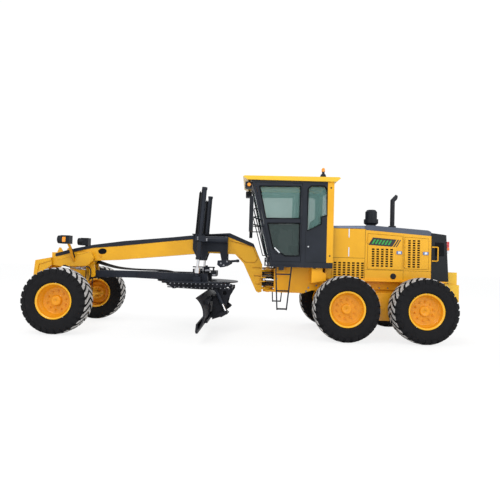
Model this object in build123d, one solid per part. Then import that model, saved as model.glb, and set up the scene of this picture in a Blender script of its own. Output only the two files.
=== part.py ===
"""Articulated motor grader, full size, in millimetres.

The front of the machine points to -X and +Z is up. The tyres stand on Z = 0.
Lengths along X are written from the tandem pivot between the rear wheels and
are moved at the end, so that the origin is the bottom centre of the whole
machine. Left is -Y and right is +Y, seen in the photograph's view.
"""
from build123d import *
from math import cos, hypot, radians, sin
import os

# Running clearances
PIN_GAP = 0.3
MOVE_GAP = 6.0
SEAT_GAP = 0.2

# Overall places along X, from the tandem pivot
NOSE_X = -7429.0
TAIL_X = 1806.0
ORIGIN_X = (NOSE_X + TAIL_X) / 2

# Wheels
LUG_R = 655.0
LUG_HEIGHT = 26.0
LUG_ROOT = 20.0
LUG_WIDTH = 74.0
LUG_HALF = 180.0
LUG_LEAN = 120.0
LUG_COUNT = 18
AXLE_Z = LUG_R
TYRE_WIDTH = 444.0
SHOULDER_DROP = 70.0
SHOULDER_WIDTH = 34.0
RIM_R = 358.0
RIM_WIDTH = 370.0
RIM_WALL = 22.0
RIM_LIP = 30.0
BARREL_R = 318.0
DISC_WALL = 20.0
HUB_BOSS_R = 95.0
HUB_BOSS_LENGTH = 45.0
HUB_DRUM_R = 165.0
SPINDLE_R = 70.0
TRACK_Y = 1078.0
WHEEL_GAP = 18.0
FRONT_AXLE_X = -6517.0
TANDEM_SPACING = 1542.0
REAR_DISH = 130.0
FRONT_DISH = 165.0

# Steering
KING_Y = TRACK_Y - 240.0
KING_R = 46.0
FORK_Z = ((AXLE_Z - 110.0, AXLE_Z - 65.0), (AXLE_Z + 60.0, AXLE_Z + 105.0))
FORK_R = 72.0
AXLE_HALF = 60.0
AXLE_END_Y = KING_Y - 138.0
STEER_ARM = 175.0
STEER_ARM_Z = (AXLE_Z - 50.0, AXLE_Z - 25.0)
RAM_Z = AXLE_Z + 10.0

# Tandem drive
CASE_Y1 = TRACK_Y - TYRE_WIDTH / 2 - WHEEL_GAP
CASE_Y0 = CASE_Y1 - 178.0
CASE_R = 255.0
CASE_TOP = 968.0
CASE_BOTTOM = 404.0
PIVOT_R = 190.0

# Rear frame
RAIL_Y = 450.0
RAIL_WALL = 90.0
RAIL_Z0 = 956.0
RAIL_Z1 = 1213.0
RAIL_X1 = 1480.0
HEAD_X0 = -2175.0
HEAD_X1 = -1360.0
HEAD_Z0 = 890.0
HEAD_Z1 = 1443.0
HEAD_PLATE_X = -1990.0
MOUNT_X1 = -1105.0

# Articulation
HINGE_X = -2290.0
HINGE_PIN_R = 42.0
HINGE_EYE_R = 105.0
HINGE_LUG = 46.0
ART_FRONT = (-2380.0, 200.0)
ART_REAR = (-1700.0, 300.0)
ART_HOLE_R = 72.0
ART_Z = 1150.0
HINGE_Z_LOW = 950.0
HINGE_Z_HIGH = 1340.0

# Interfaces for other machines and tools
HITCH_SLOT = (930.0, 1010.0)
HITCH_Z = (785.0, 1156.0)
HITCH_R = 26.0
HITCH_BACK = 75.0
PUSH_HOLES = (440.0, 220.0)
PUSH_HOLE_R = 13.0
PUSH_HOLES_Z = 1230.0

# Front frame, a box beam that rises into a gooseneck
BEAM_Y = 150.0
NOSE_Y = 250.0
STRIP_Y = 156.0

# Saddle and lift cylinders
LIFT_Y = 620.0
LIFT_PIVOT = (-3769.0, 2000.0)
LIFT_EYE = (-3813.0, 1262.0)
LIFT_BARREL_R = 50.0
LIFT_ROD_R = 29.0
LIFT_BARREL_UP = 1087.0
LIFT_BARREL_DOWN = 455.0
LIFT_ROD_TUCK = 1330.0
LOCK_TUBE = (470.0, 1983.0)
BALL_R = 42.0

# Drawbar, circle and blade
DRAW_PIVOT = (-6210.0, 1168.0)
DRAW_PIN_R = 34.0
DRAW_BEAM_Z0 = 1086.0
DRAW_BEAM_Z1 = 1250.0
CIRCLE_X = -3860.0
CIRCLE_R = 703.0
DECK_R = 900.0
DECK_Z0 = 1062.0
DECK_Z1 = 1086.0
RING_Z0 = 1000.0
RING_Z1 = 1056.0
RING_R0 = 608.0
SKIRT_R0 = 655.0
SHOE_R = 560.0
TOOTH_OUT = 18.0
PINION_R = 50.0
SIDE_Z1 = 966.0
TOOTH_COUNT = 60
ARM_Y0 = 585.0
ARM_WALL = 36.0
TIP_PIVOT = (-3300.0, 420.0)
TIP_PIN_R = 30.0
TIP_TOP = (-3400.0, 925.0)
TIP_EYE = (TIP_PIVOT[0] + 125, TIP_PIVOT[1] + 45)
TIP_LUG = (34.0, 62.0)
TIP_Y = -(ARM_Y0 + ARM_WALL + MOVE_GAP + TIP_LUG[1])
BLADE_HALF = 1829.0
BLADE_WALL = 26.0
EDGE_WALL = 20.0

# Cab
CAB_Y = 760.0
CAB_WALL = 60.0
CAB_FLOOR_Z = 1453.0
CAB_REAR_X = -985.0
GLASS_WALL = 8.0
DOOR_GAP = 7.0

# Hood
HOOD_Y = 600.0
HOOD_WALL = 40.0
HOOD_X0 = -960.0
HOOD_FLOOR_Z = 1225.0


def box(x0, x1, y0, y1, z0, z1):
    """A block between two corners."""
    size = Box(x1 - x0, y1 - y0, z1 - z0)
    return Pos((x0 + x1) / 2, (y0 + y1) / 2, (z0 + z1) / 2) * size


def slab(points, y0, y1):
    """A plate with an outline in X and Z, between two places across the machine."""
    face = Plane.XZ.offset(-y1) * make_face(Polyline(*points, close=True))
    return extrude(face, amount=y1 - y0, dir=(0, -1, 0))


def sheet(points, z0, z1):
    """A plate with an outline in X and Y, between two heights."""
    face = Plane.XY.offset(z0) * make_face(Polyline(*points, close=True))
    return extrude(face, amount=z1 - z0, dir=(0, 0, 1))


def profile(points, x0, x1):
    """A bar with an outline in Y and Z, between two places along the machine."""
    face = Plane.YZ.offset(x0) * make_face(Polyline(*points, close=True))
    return extrude(face, amount=x1 - x0, dir=(1, 0, 0))


def bar(start, end, radius, bore=0.0):
    """A round bar, or a tube where it has a bore, from one point to another."""
    a, b = Vector(*start), Vector(*end)
    plane = Plane(origin=a, z_dir=b - a)
    low = (Align.CENTER, Align.CENTER, Align.MIN)
    solid = plane * Cylinder(radius, (b - a).length, align=low)
    if bore:
        solid -= plane * Cylinder(bore, (b - a).length, align=low)
    return solid


def across(shape):
    """The same piece on the other side of the machine."""
    return mirror(shape, about=Plane.XZ)


def both(shape):
    """A piece and its mirror image."""
    return shape + across(shape)


def line_z(points, x):
    """Height at x on a chain of straight runs."""
    for (x0, z0), (x1, z1) in zip(points, points[1:]):
        if x0 <= x <= x1:
            return z0 + (z1 - z0) * (x - x0) / (x1 - x0)
    raise ValueError("x lies outside the line")


def save(name, shape):
    """Write one node, moved so that the origin is the machine's bottom centre."""
    if isinstance(shape, ShapeList):
        shape = Compound(children=list(shape))
    placed = Pos(-ORIGIN_X, 0, 0) * shape
    placed.label = name
    export_step(placed, f"parts/{name}.step")


os.makedirs("parts", exist_ok=True)


# Tyres: a many-sided carcass with one chevron lug on each side of it
def ring_sketch(radius, y):
    """One section of the carcass, across the wheel's axis."""
    plane = Plane(origin=(0, y, 0), x_dir=(1, 0, 0), z_dir=(0, 1, 0))
    return plane * RegularPolygon(radius, LUG_COUNT)


def tyre():
    tread_r = LUG_R - LUG_HEIGHT
    half = TYRE_WIDTH / 2
    sections = [
        ring_sketch(tread_r - SHOULDER_DROP, -half),
        ring_sketch(tread_r, -half + SHOULDER_WIDTH),
        ring_sketch(tread_r, half - SHOULDER_WIDTH),
        ring_sketch(tread_r - SHOULDER_DROP, half),
    ]
    carcass = loft(sections, ruled=True)
    plane = Plane(origin=(0, -half - 1, 0), x_dir=(1, 0, 0), z_dir=(0, 1, 0))
    hole = RegularPolygon(RIM_R, LUG_COUNT, major_radius=False)
    carcass -= extrude(plane * hole, amount=TYRE_WIDTH + 2, dir=(0, 1, 0))
    tip, end, wide = LUG_LEAN / 2, -LUG_LEAN / 2, LUG_WIDTH / 2
    chevron = [(tip - wide, 0), (end - wide, LUG_HALF), (end + wide, LUG_HALF), (tip + wide, 0),
               (end + wide, -LUG_HALF), (end - wide, -LUG_HALF)]
    lug = sheet(chevron, tread_r - LUG_ROOT, LUG_R)
    return carcass.fuse(*[Rot(0, 360 * step / LUG_COUNT, 0) * lug for step in range(LUG_COUNT)])


def rim(dish, drum_y):
    """A rim with its disc dished in from the outer side at +Y, and its hub from drum_y."""
    half = RIM_WIDTH / 2
    face_y = half - dish
    inner_y = drum_y - TRACK_Y
    barrel = bar((0, -half, 0), (0, half, 0), BARREL_R, BARREL_R - RIM_WALL)
    for y in (-half, half - RIM_LIP):
        barrel += bar((0, y, 0), (0, y + RIM_LIP, 0), RIM_R, BARREL_R - RIM_WALL)
    disc = bar((0, face_y - DISC_WALL, 0), (0, face_y, 0), BARREL_R - 1)
    boss = bar((0, face_y, 0), (0, face_y + HUB_BOSS_LENGTH, 0), HUB_BOSS_R)
    drum = bar((0, inner_y, 0), (0, face_y, 0), HUB_DRUM_R)
    solid = barrel + disc + boss + drum
    solid -= bar((0, inner_y - 1, 0), (0, face_y - 30, 0), SPINDLE_R + PIN_GAP)
    return solid


def spindle(y0, dish):
    """The stub that carries a hub, from y0 out into the hub's bore."""
    tip = TRACK_Y + RIM_WIDTH / 2 - dish - 35
    return bar((0, y0, 0), (0, tip, 0), SPINDLE_R)


TYRE = tyre()
REAR_RIM = rim(REAR_DISH, CASE_Y1 + MOVE_GAP)
FRONT_RIM = rim(FRONT_DISH, KING_Y + 98.0)
WHEELS = (
    # name, x, dished rim
    ("front", FRONT_AXLE_X, FRONT_RIM),
    ("middle", -TANDEM_SPACING / 2, REAR_RIM),
    ("rear", TANDEM_SPACING / 2, REAR_RIM),
)
for name, x, rim_shape in WHEELS:
    place = Pos(x, TRACK_Y, AXLE_Z)
    save(f"tyre_{name}_right", place * TYRE)
    save(f"rim_{name}_right", place * rim_shape)
    save(f"tyre_{name}_left", across(place * TYRE))
    save(f"rim_{name}_left", across(place * rim_shape))


# Tandem drive: an axle housing with a chain case at each end
def tandem_drive():
    half = TANDEM_SPACING / 2
    mid = (CASE_TOP + CASE_BOTTOM) / 2
    arch = CASE_TOP - mid
    outline = [
        (-half - CASE_R, AXLE_Z + 60), (-half - CASE_R, AXLE_Z - 110), (-half - 120, CASE_BOTTOM),
        (half + 120, CASE_BOTTOM), (half + CASE_R, AXLE_Z - 110), (half + CASE_R, AXLE_Z + 60),
        (half + 100, mid + 0.8 * arch), (330, CASE_TOP), (-330, CASE_TOP), (-half - 100, mid + 0.8 * arch),
    ]
    case = slab(outline, CASE_Y0, CASE_Y1)
    for x in (-half, half):
        case += Pos(x, 0, AXLE_Z) * spindle(CASE_Y1 - 1, REAR_DISH)
    case += bar((0, CASE_Y1 - 1, mid), (0, CASE_Y1 + 12, mid), 85)
    inner = CASE_Y0 - SEAT_GAP
    housing = bar((0, -inner, mid), (0, inner, mid), PIVOT_R)
    housing += both(box(-240, 240, RAIL_Y - 160, RAIL_Y, mid + 60, RAIL_Z0))
    return Compound(children=[case, across(case), housing])


save("tandem_drive", tandem_drive())


# Rear frame: two box rails on a deep head that carries the hinge pin
def rear_frame():
    rail = box(HEAD_X1 - 60, RAIL_X1, RAIL_Y - RAIL_WALL, RAIL_Y, RAIL_Z0, RAIL_Z1)
    solid = both(rail)
    side = slab(
        [(HEAD_X0, HEAD_Z0 + 60), (HEAD_X0 + 90, HEAD_Z0), (HEAD_X1 - 180, HEAD_Z0), (HEAD_X1, RAIL_Z0),
         (HEAD_X1, HEAD_Z1), (HEAD_X0 + 40, HEAD_Z1), (HEAD_X0, HEAD_Z1 - 60)],
        RAIL_Y - 60, RAIL_Y,
    )
    solid += both(side)
    solid += box(HEAD_PLATE_X, HEAD_PLATE_X + 40, -RAIL_Y + 1, RAIL_Y - 1, HEAD_Z0 + 2, HEAD_Z1 - 2)
    # Anchors of the articulation cylinders, which pass through the head plate
    ax, ay = ART_REAR
    for z in (ART_Z - 52, ART_Z + 32):
        clevis = bar((ax, ay, z), (ax, ay, z + 20), 50)
        clevis += box(ax - 50, ax + 50, ay, RAIL_Y - 59, z, z + 20)
        solid += both(clevis)
    solid += both(bar((ax, ay, ART_Z - 60), (ax, ay, ART_Z + 60), 22))
    hole_y = ART_FRONT[1] + (ay - ART_FRONT[1]) * (HEAD_PLATE_X + 20 - ART_FRONT[0]) / (ax - ART_FRONT[0])
    solid -= both(bar((HEAD_PLATE_X - 1, hole_y, ART_Z), (HEAD_PLATE_X + 41, hole_y, ART_Z), ART_HOLE_R))
    solid += box(HEAD_X1 - 60, HEAD_X1 - 10, -RAIL_Y + 1, RAIL_Y - 1, RAIL_Z0 + 2, HEAD_Z1 - 2)
    for x in (-420, 420, 1380):
        solid += box(x, x + 70, -RAIL_Y + 1, RAIL_Y - 1, RAIL_Z0 + 40, RAIL_Z1 - 20)
    for z in (HINGE_Z_LOW, HINGE_Z_HIGH):
        for offset in (-1, 1):
            z0 = z + offset * (HINGE_LUG + MOVE_GAP) - HINGE_LUG / 2
            lug = bar((HINGE_X, 0, z0), (HINGE_X, 0, z0 + HINGE_LUG), HINGE_EYE_R)
            lug += sheet([(HINGE_X, -HINGE_EYE_R), (HINGE_X, HINGE_EYE_R), (HEAD_PLATE_X + 1, 200),
                          (HEAD_PLATE_X + 1, -200)], z0, z0 + HINGE_LUG)
            solid += lug
        reach = 1.5 * HINGE_LUG + MOVE_GAP + 14
        solid += bar((HINGE_X, 0, z - reach), (HINGE_X, 0, z + reach), HINGE_PIN_R)
    # Side step ledges, and the shelf that carries the hood
    solid += both(box(-900, 1440, RAIL_Y - 1, HOOD_Y + 60, HOOD_FLOOR_Z - 30, HOOD_FLOOR_Z))
    solid += both(box(-900, 1440, RAIL_Y - 1, RAIL_Y + 40, RAIL_Z0 + 60, HOOD_FLOOR_Z - 10))
    # Cab mounts
    for x in (-2050, -1255):
        solid += both(box(x - 75, x + 75, RAIL_Y - 2, CAB_Y - 60, HEAD_Z1 - 120, HEAD_Z1))
    mount = [(-1405, 1126), (MOUNT_X1, 1180), (MOUNT_X1, 1330), (-1405, 1443)]
    solid += both(slab(mount, RAIL_Y - 2, CAB_Y - 60))
    solid += both(box(-1330, -1110, RAIL_Y - 2, RAIL_Y + 40, RAIL_Z1 - 120, HEAD_Z1 - 60))
    return solid


save("rear_frame", rear_frame())


def tail_block():
    """The cross bumper on the rails' ends, the hitch block and the box above it."""
    solid = box(RAIL_X1 + SEAT_GAP, RAIL_X1 + 80, -RAIL_Y, RAIL_Y, 900, RAIL_Z1 - 44)
    solid += box(RAIL_X1 + 78, TAIL_X, -RAIL_Y, RAIL_Y, HITCH_Z[0], HITCH_Z[1])
    solid += box(RAIL_X1 + 40, TAIL_X - 19, -RAIL_Y + 60, RAIL_Y - 60, HITCH_Z[1] - 1, 1424)
    solid -= box(TAIL_X - 2 * HITCH_BACK, TAIL_X + 1, -90, 90, *HITCH_SLOT)
    solid -= bar((TAIL_X - HITCH_BACK, 0, HITCH_Z[0] - 1), (TAIL_X - HITCH_BACK, 0, HITCH_Z[1]), HITCH_R)
    return solid


save("tail_block", tail_block())

# Engine: one plain block between the rails, under the hood
ENGINE_BLOCK = box(-80, 980, -300, 300, RAIL_Z0 + 40, 1930)
for x in (-420, 420):
    ENGINE_BLOCK -= box(x - SEAT_GAP, x + 70 + SEAT_GAP, -RAIL_Y, RAIL_Y, RAIL_Z0, RAIL_Z1 - 20 + SEAT_GAP)
save("engine_block", ENGINE_BLOCK)


# Hood
HOOD_SIDE = (
    # x, top of the yellow side
    (HOOD_X0, 2301.0),
    (-271.0, 2301.0),
    (-258.0, 2275.0),
    (1174.0, 2180.0),
)
HOOD_TOP_LINE = (
    # x, top of the dark cover
    (HOOD_X0, 2348.0),
    (-262.0, 2368.0),
    (-227.0, 2383.0),
    (1062.0, 2304.0),
    (1150.0, 2262.0),
)
HOOD_REAR_X = 1130.0
HOOD_KNUCKLE_R = 8.0
HOOD_KNUCKLE = 45.0
HOOD_DOORS = (
    # name, x of the hinge edge, x of the latch edge, sill, top at hinge, top at latch, x and z of the
    # first louvre, columns, lines
    ("front", -213.0, 513.0, 1455.0, 2200.0, 2160.0, (-128.0, 1505.0, 5, 8)),
    ("rear", 571.0, 1072.0, 1478.0, 2146.0, 2118.0, (638.0, 1505.0, 3, 12)),
)
LATCH = (112.0, 62.0)
LATCH_Z = 1812.0


LOUVRE_PITCH = (97.0, 50.0)
LOUVRE_SLOT = (58.0, 34.0)
LOUVRE_DEEP = 14.0
FRONT_LOUVRES = (-930.0, 1250.0, 7, 7)


def louvres(x0, z0, columns, lines):
    """Slots for cooling air in a side panel, as cutters."""
    pitch_x, pitch_z = LOUVRE_PITCH
    wide, high = LOUVRE_SLOT
    slots = []
    for column in range(columns):
        for line in range(lines):
            x, z = x0 + column * pitch_x, z0 + line * pitch_z
            slots.append(box(x, x + wide, HOOD_Y - LOUVRE_DEEP, HOOD_Y + 4, z, z + high))
    return slots


def hood_outline(inset, x0, x1):
    """Side outline of the hood's shell, drawn in by an inset."""
    top = [(max(x0, x), z - inset) for x, z in HOOD_SIDE[:3]]
    top.append((x1, line_z(HOOD_SIDE, min(x1, HOOD_SIDE[-1][0])) - inset))
    return [(x0, HOOD_FLOOR_Z + inset)] + top + [(x1, HOOD_FLOOR_Z + inset)]


def door_outline(row, grow):
    _, hinge_x, latch_x, sill, top0, top1, _ = row
    return [(hinge_x - grow, sill - grow), (latch_x + grow, sill - grow),
            (latch_x + grow, top1 + grow), (hinge_x - grow, top0 + grow)]


def hood_hinges(row):
    """Lower ends of the door's knuckles. A fixed knuckle stands below each."""
    _, _, _, sill, top0, _, _ = row
    return sill + 80, top0 - 160


def hood_shell():
    shell = slab(hood_outline(0, HOOD_X0, HOOD_REAR_X), -HOOD_Y, HOOD_Y)
    inner = [(x, z) for x, z in hood_outline(HOOD_WALL, HOOD_X0 + HOOD_WALL, HOOD_REAR_X - HOOD_WALL)]
    shell -= slab(inner, -HOOD_Y + HOOD_WALL, HOOD_Y - HOOD_WALL)
    shell -= box(-400, 1080, -RAIL_Y + 40, RAIL_Y - 40, HOOD_FLOOR_Z - 1, HOOD_FLOOR_Z + HOOD_WALL + 1)
    for row in HOOD_DOORS:
        shell -= slab(door_outline(row, DOOR_GAP), -HOOD_Y - 1, HOOD_Y + 1)
        x, y = row[1] - 2, HOOD_Y + 10
        for z in hood_hinges(row):
            knuckle = bar((x, y, z - HOOD_KNUCKLE), (x, y, z - PIN_GAP), HOOD_KNUCKLE_R)
            knuckle += box(x - 24, x, HOOD_Y - 1, y + 2, z - HOOD_KNUCKLE, z - PIN_GAP)
            shell += both(knuckle)
    for slot in louvres(*FRONT_LOUVRES):
        shell -= both(slot)
    # Corner panels that close the gap behind the cab's mounts
    shell += both(box(MOUNT_X1 + SEAT_GAP, HOOD_X0 + 1, HOOD_Y - 60, HOOD_Y - 20, HOOD_FLOOR_Z + 1, 1440))
    return shell


save("hood_shell", hood_shell())


def hood_top():
    """The dark cover over the yellow sides."""
    top = [(x, z) for x, z in HOOD_TOP_LINE]
    rear_z = line_z(HOOD_SIDE, HOOD_REAR_X)
    under = [(HOOD_REAR_X, rear_z), (-258.0, 2275.0), (-271.0, 2301.0), (HOOD_X0, 2301.0)]
    top[-1] = (HOOD_REAR_X, line_z(HOOD_TOP_LINE, HOOD_REAR_X))
    return slab(top + under, -HOOD_Y + 8, HOOD_Y - 8)


save("hood_top", hood_top())


def hood_door(row):
    """One side door with its louvres, hinged at its forward edge."""
    hinge_x, latch_x = row[1:3]
    door = slab(door_outline(row, 0), HOOD_Y - HOOD_WALL + 2, HOOD_Y + 3)
    for slot in louvres(*row[-1]):
        door -= slot
    wide, high = LATCH
    x = latch_x - 10 - wide
    door += box(x, x + wide, HOOD_Y + 2, HOOD_Y + 14, LATCH_Z - high / 2, LATCH_Z + high / 2)
    # Hinge knuckles at the forward edge, each on a fixed one
    x, y = hinge_x - 2, HOOD_Y + 10
    for z in hood_hinges(row):
        door -= bar((x, y, z - HOOD_KNUCKLE - 3), (x, y, z), HOOD_KNUCKLE_R + 1.5)
        door += bar((x, y, z), (x, y, z + 2 * HOOD_KNUCKLE), HOOD_KNUCKLE_R)
    return door


for row in HOOD_DOORS:
    save(f"hood_door_{row[0]}_right", hood_door(row))
    save(f"hood_door_{row[0]}_left", across(hood_door(row)))


def rear_cap():
    """The dark radiator housing behind the hood, open through its grille."""
    outline = [(HOOD_REAR_X, 1173), (1505, 1182), (1443, 2211), (1390, 2222), (HOOD_REAR_X, 2250)]
    cap = slab(outline, -HOOD_Y - 4, HOOD_Y + 4)
    inner = [(HOOD_REAR_X - 1, 1230), (1455, 1240), (1395, 2160), (HOOD_REAR_X - 1, 2190)]
    cap -= slab(inner, -HOOD_Y + 46, HOOD_Y - 46)
    cap -= box(1300, 1560, -460, 460, 1330, 2080)
    for line in range(14):
        z = 1345 + line * 52
        cap += box(1436 - 50 * (line / 14), 1468 - 50 * (line / 14), -462, 462, z, z + 16)
    for y in (-154, 154):
        cap += slab([(1418, 1325), (1450, 1325), (1408, 2085), (1376, 2085)], y - 14, y + 14)
    cap -= both(box(1000, 1600, HOOD_Y - 60, HOOD_Y + 70, HOOD_FLOOR_Z - 31, HOOD_FLOOR_Z + 1))
    cap -= box(1000, 1441, -HOOD_Y - 70, HOOD_Y + 70, 1000, HOOD_FLOOR_Z + 0.2)
    cap -= box(1400, 1600, -RAIL_Y - 40, RAIL_Y + 40, 1000, 1220)
    return cap


save("rear_cap", rear_cap())


def air_precleaner():
    x, y = -40, -200
    z = line_z(HOOD_TOP_LINE, x) - 2
    low = (Align.CENTER, Align.CENTER, Align.MIN)
    solid = bar((x, y, z), (x, y, 2430), 105)
    solid += Pos(x, y, 2429) * Cone(120, 155, 30, align=low)
    solid += bar((x, y, 2458), (x, y, 2545), 155)
    solid += bar((x, y, 2544), (x, y, 2712), 127)
    solid += Pos(x, y, 2711) * Cone(127, 92, 43, align=low)
    return solid


def exhaust_stack():
    x, z = 502, line_z(HOOD_TOP_LINE, 502)
    solid = bar((x, 0, z - 2), (x, 0, 2433), 82)
    solid += bar((x, 0, 2432), (x, 0, 3026), 50)
    tip = bar((x - 6, 0, 3000), (600, 0, 3115), 50)
    solid += tip
    solid -= bar((x, 0, 2600), (x, 0, 3012), 44)
    solid -= bar((x - 6, 0, 3000), (618, 0, 3136), 44)
    solid -= box(600, 700, -60, 60, 2900, 3200)
    return solid


HOOD_CUT = hood_top()
save("air_precleaner", air_precleaner() - HOOD_CUT)
save("exhaust_stack", exhaust_stack() - HOOD_CUT)


# Cab
ROOF_Z = 3246.0
ROOF_TOP_Z = 3344.0
CAB_FRONT_TOP = -2707.0
CAB_FRONT_LOW = -2275.0
CAB_SLOPE = (CAB_FRONT_TOP - CAB_FRONT_LOW) / (ROOF_Z - 1443.0)


def front_x(z, inset=0.0):
    """The sloping front of the cab at a height."""
    return CAB_FRONT_LOW + CAB_SLOPE * (z - 1443.0) + inset


def cab_side(inset, z0, z1):
    rear = CAB_REAR_X - inset
    return [(front_x(z0, inset), z0), (rear, z0), (rear, z1), (front_x(z1, inset), z1)]


DOOR_REAR_X = -1655.0
DOOR_SILL_Z = 1560.0
DOOR_TOP_Z = 3190.0
DOOR_WALL = 48.0
DOOR_INSET = 62.0
DOOR_HINGES = (1800.0, 2405.0, 3000.0)
DOOR_KNUCKLE_R = 12.0
DOOR_KNUCKLE = 55.0


def door_shape(grow):
    """The door's outline on the cab's side."""
    z0, z1 = DOOR_SILL_Z - grow, DOOR_TOP_Z + grow
    rear, inset = DOOR_REAR_X + grow, DOOR_INSET - grow
    return [(front_x(z0, inset), z0), (rear, z0), (rear, z1), (front_x(z1, inset), z1)]


SIDE_WINDOW = ((-1528, 3089), (-1462, 3150), (-1199, 3157), (-1137, 3100), (-1124, 2543), (-1242, 2507),
               (-1239, 2360), (-1527, 2210))


def cab_shell():
    shell = slab(cab_side(0, 1443.0, ROOF_Z), -CAB_Y, CAB_Y)
    shell -= slab(cab_side(CAB_WALL, CAB_FLOOR_Z + 40, ROOF_Z + 1), -CAB_Y + CAB_WALL, CAB_Y - CAB_WALL)
    shell -= slab(door_shape(DOOR_GAP), -CAB_Y - 1, CAB_Y + 1)
    shell -= slab(SIDE_WINDOW, -CAB_Y - 1, CAB_Y + 1)
    # Front and rear windows, upper and lower
    for z0, z1 in ((1640, 2190), (2250, 3160)):
        x = front_x((z0 + z1) / 2)
        cut = profile([(-640, z0), (640, z0), (640, z1), (-640, z1)], x - 280, x + 290)
        shell -= cut
    shell -= box(CAB_REAR_X - 100, CAB_REAR_X + 10, -600, 600, 2400, 3140)
    # Fixed hinge knuckles of the doors
    x, y = DOOR_REAR_X - 4, CAB_Y + 10
    for z in DOOR_HINGES:
        knuckle = bar((x, y, z - DOOR_KNUCKLE), (x, y, z - PIN_GAP), DOOR_KNUCKLE_R)
        knuckle += box(x, x + 32, CAB_Y - 1, y + 2, z - DOOR_KNUCKLE, z - PIN_GAP)
        shell += both(knuckle)
    return shell


CAB_SHELL = cab_shell()
save("cab_shell", CAB_SHELL)


def cab_roof():
    roof = slab([(-2800, ROOF_Z), (-947, ROOF_Z), (-853, 3325), (-895, ROOF_TOP_Z), (-2860, 3328), (-2895, 3312)],
                -CAB_Y - 40, CAB_Y + 40)
    roof -= slab([(-2600, ROOF_Z - 1), (-1050, ROOF_Z - 1), (-1050, 3300), (-2600, 3290)],
                 -CAB_Y + 90, CAB_Y - 90)
    return roof


CAB_ROOF = cab_roof()
save("cab_roof", CAB_ROOF)


def cab_glass():
    """The panes that don't open."""
    panes = []
    side = slab(SIDE_WINDOW, CAB_Y - 34, CAB_Y - 34 + GLASS_WALL)
    panes += [side, across(side)]
    for z0, z1 in ((1640, 2190), (2250, 3160)):
        pane = slab([(front_x(z0, 24), z0), (front_x(z0, 24 + GLASS_WALL), z0), (front_x(z1, 24 + GLASS_WALL), z1),
                     (front_x(z1, 24), z1)], -640, 640)
        panes.append(pane)
    panes.append(box(CAB_REAR_X - 34, CAB_REAR_X - 34 + GLASS_WALL, -600, 600, 2400, 3140))
    return Compound(children=panes)


save("cab_glass", cab_glass())

PANE_INSET = 2.0
DOOR_PANES = (
    # outline of each opening in the door
    ((-2545, 3119), (-1689, 3137), (-1693, 2460), (-2395, 2449)),
    ((-2357, 2348), (-1685, 2367), (-1682, 1681), (-1967, 1673), (-2235, 1830)),
)


def pane_outline(points, inset):
    cx = sum(x for x, _ in points) / len(points)
    cz = sum(z for _, z in points) / len(points)
    return [(x + (inset if x < cx else -inset), z + (inset if z < cz else -inset)) for x, z in points]


def cab_door():
    door = slab(door_shape(0), CAB_Y - DOOR_WALL, CAB_Y)
    for points in DOOR_PANES:
        door -= slab(pane_outline(points, PANE_INSET), CAB_Y - DOOR_WALL - 1, CAB_Y + 1)
    door += box(-2180, -2090, CAB_Y - 1, CAB_Y + 30, 1728, 1764)
    x, y = DOOR_REAR_X - 4, CAB_Y + 10
    for z in DOOR_HINGES:
        door -= bar((x, y, z - DOOR_KNUCKLE - 3), (x, y, z), DOOR_KNUCKLE_R + 1.5)
        door += bar((x, y, z), (x, y, z + 2 * DOOR_KNUCKLE), DOOR_KNUCKLE_R)
    return door


def door_glass():
    panes = [slab(pane_outline(points, PANE_INSET), CAB_Y - 30, CAB_Y - 30 + GLASS_WALL) for points in DOOR_PANES]
    return Compound(children=panes)


save("cab_door_right", cab_door())
save("cab_door_left", across(cab_door()))
save("door_glass_right", door_glass())
save("door_glass_left", across(door_glass()))


def operator_seat():
    x = -1560
    floor_z = CAB_FLOOR_Z + 40
    solid = box(x - 160, x + 160, -180, 180, floor_z, floor_z + 260)
    solid += box(x - 270, x + 230, -250, 250, floor_z + 259, floor_z + 400)
    solid += slab([(x + 150, floor_z + 399), (x + 290, floor_z + 399), (x + 370, floor_z + 1010),
                   (x + 270, floor_z + 1030)], -240, 240)
    solid += both(box(x - 180, x + 200, 251, 320, floor_z + 520, floor_z + 590))
    solid += both(box(x + 100, x + 190, 245, 290, floor_z + 300, floor_z + 521))
    return solid


save("operator_seat", operator_seat())


WHEEL_R = 205.0
WHEEL_GRIP = 11.0
WHEEL_SIDES = 24


def control_console():
    """The column with its steering wheel and four levers."""
    floor_z = CAB_FLOOR_Z + 40
    solid = slab([(-2190, floor_z), (-2050, floor_z), (-2080, floor_z + 760), (-2190, floor_z + 800),
                  (-2240, floor_z + 600)], -90, 90)
    solid += slab([(-2230, floor_z + 640), (-2060, floor_z + 690), (-2075, floor_z + 760), (-2245, floor_z + 710)],
                  -300, 300)
    hub = Vector(-2060, 0, floor_z + 800)
    tilt = Vector(0.45, 0, 1).normalized()
    solid += bar(tuple(hub - tilt * 120), tuple(hub + tilt * 72), 26)
    for angle in (0, 120, 240):
        out = Plane(origin=hub + tilt * 60, z_dir=tilt)
        tip = out.from_local_coords(Vector(190 * cos(radians(angle)), 190 * sin(radians(angle)), 0))
        solid += bar(tuple(hub + tilt * 60), tuple(tip), 9)
    wheel = Plane(origin=hub + tilt * 60, z_dir=tilt)
    outer = extrude(wheel * RegularPolygon(WHEEL_R, WHEEL_SIDES), amount=WHEEL_GRIP, both=True)
    hollow = wheel * RegularPolygon(WHEEL_R - 3 * WHEEL_GRIP, WHEEL_SIDES)
    inner = extrude(hollow, amount=2 * WHEEL_GRIP, both=True)
    solid += outer - inner
    for y in (-260, -210, 210, 260):
        solid += bar((-2130, y, floor_z + 700), (-2100, y, floor_z + 880), 9)
    return solid


save("control_console", control_console())


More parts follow.
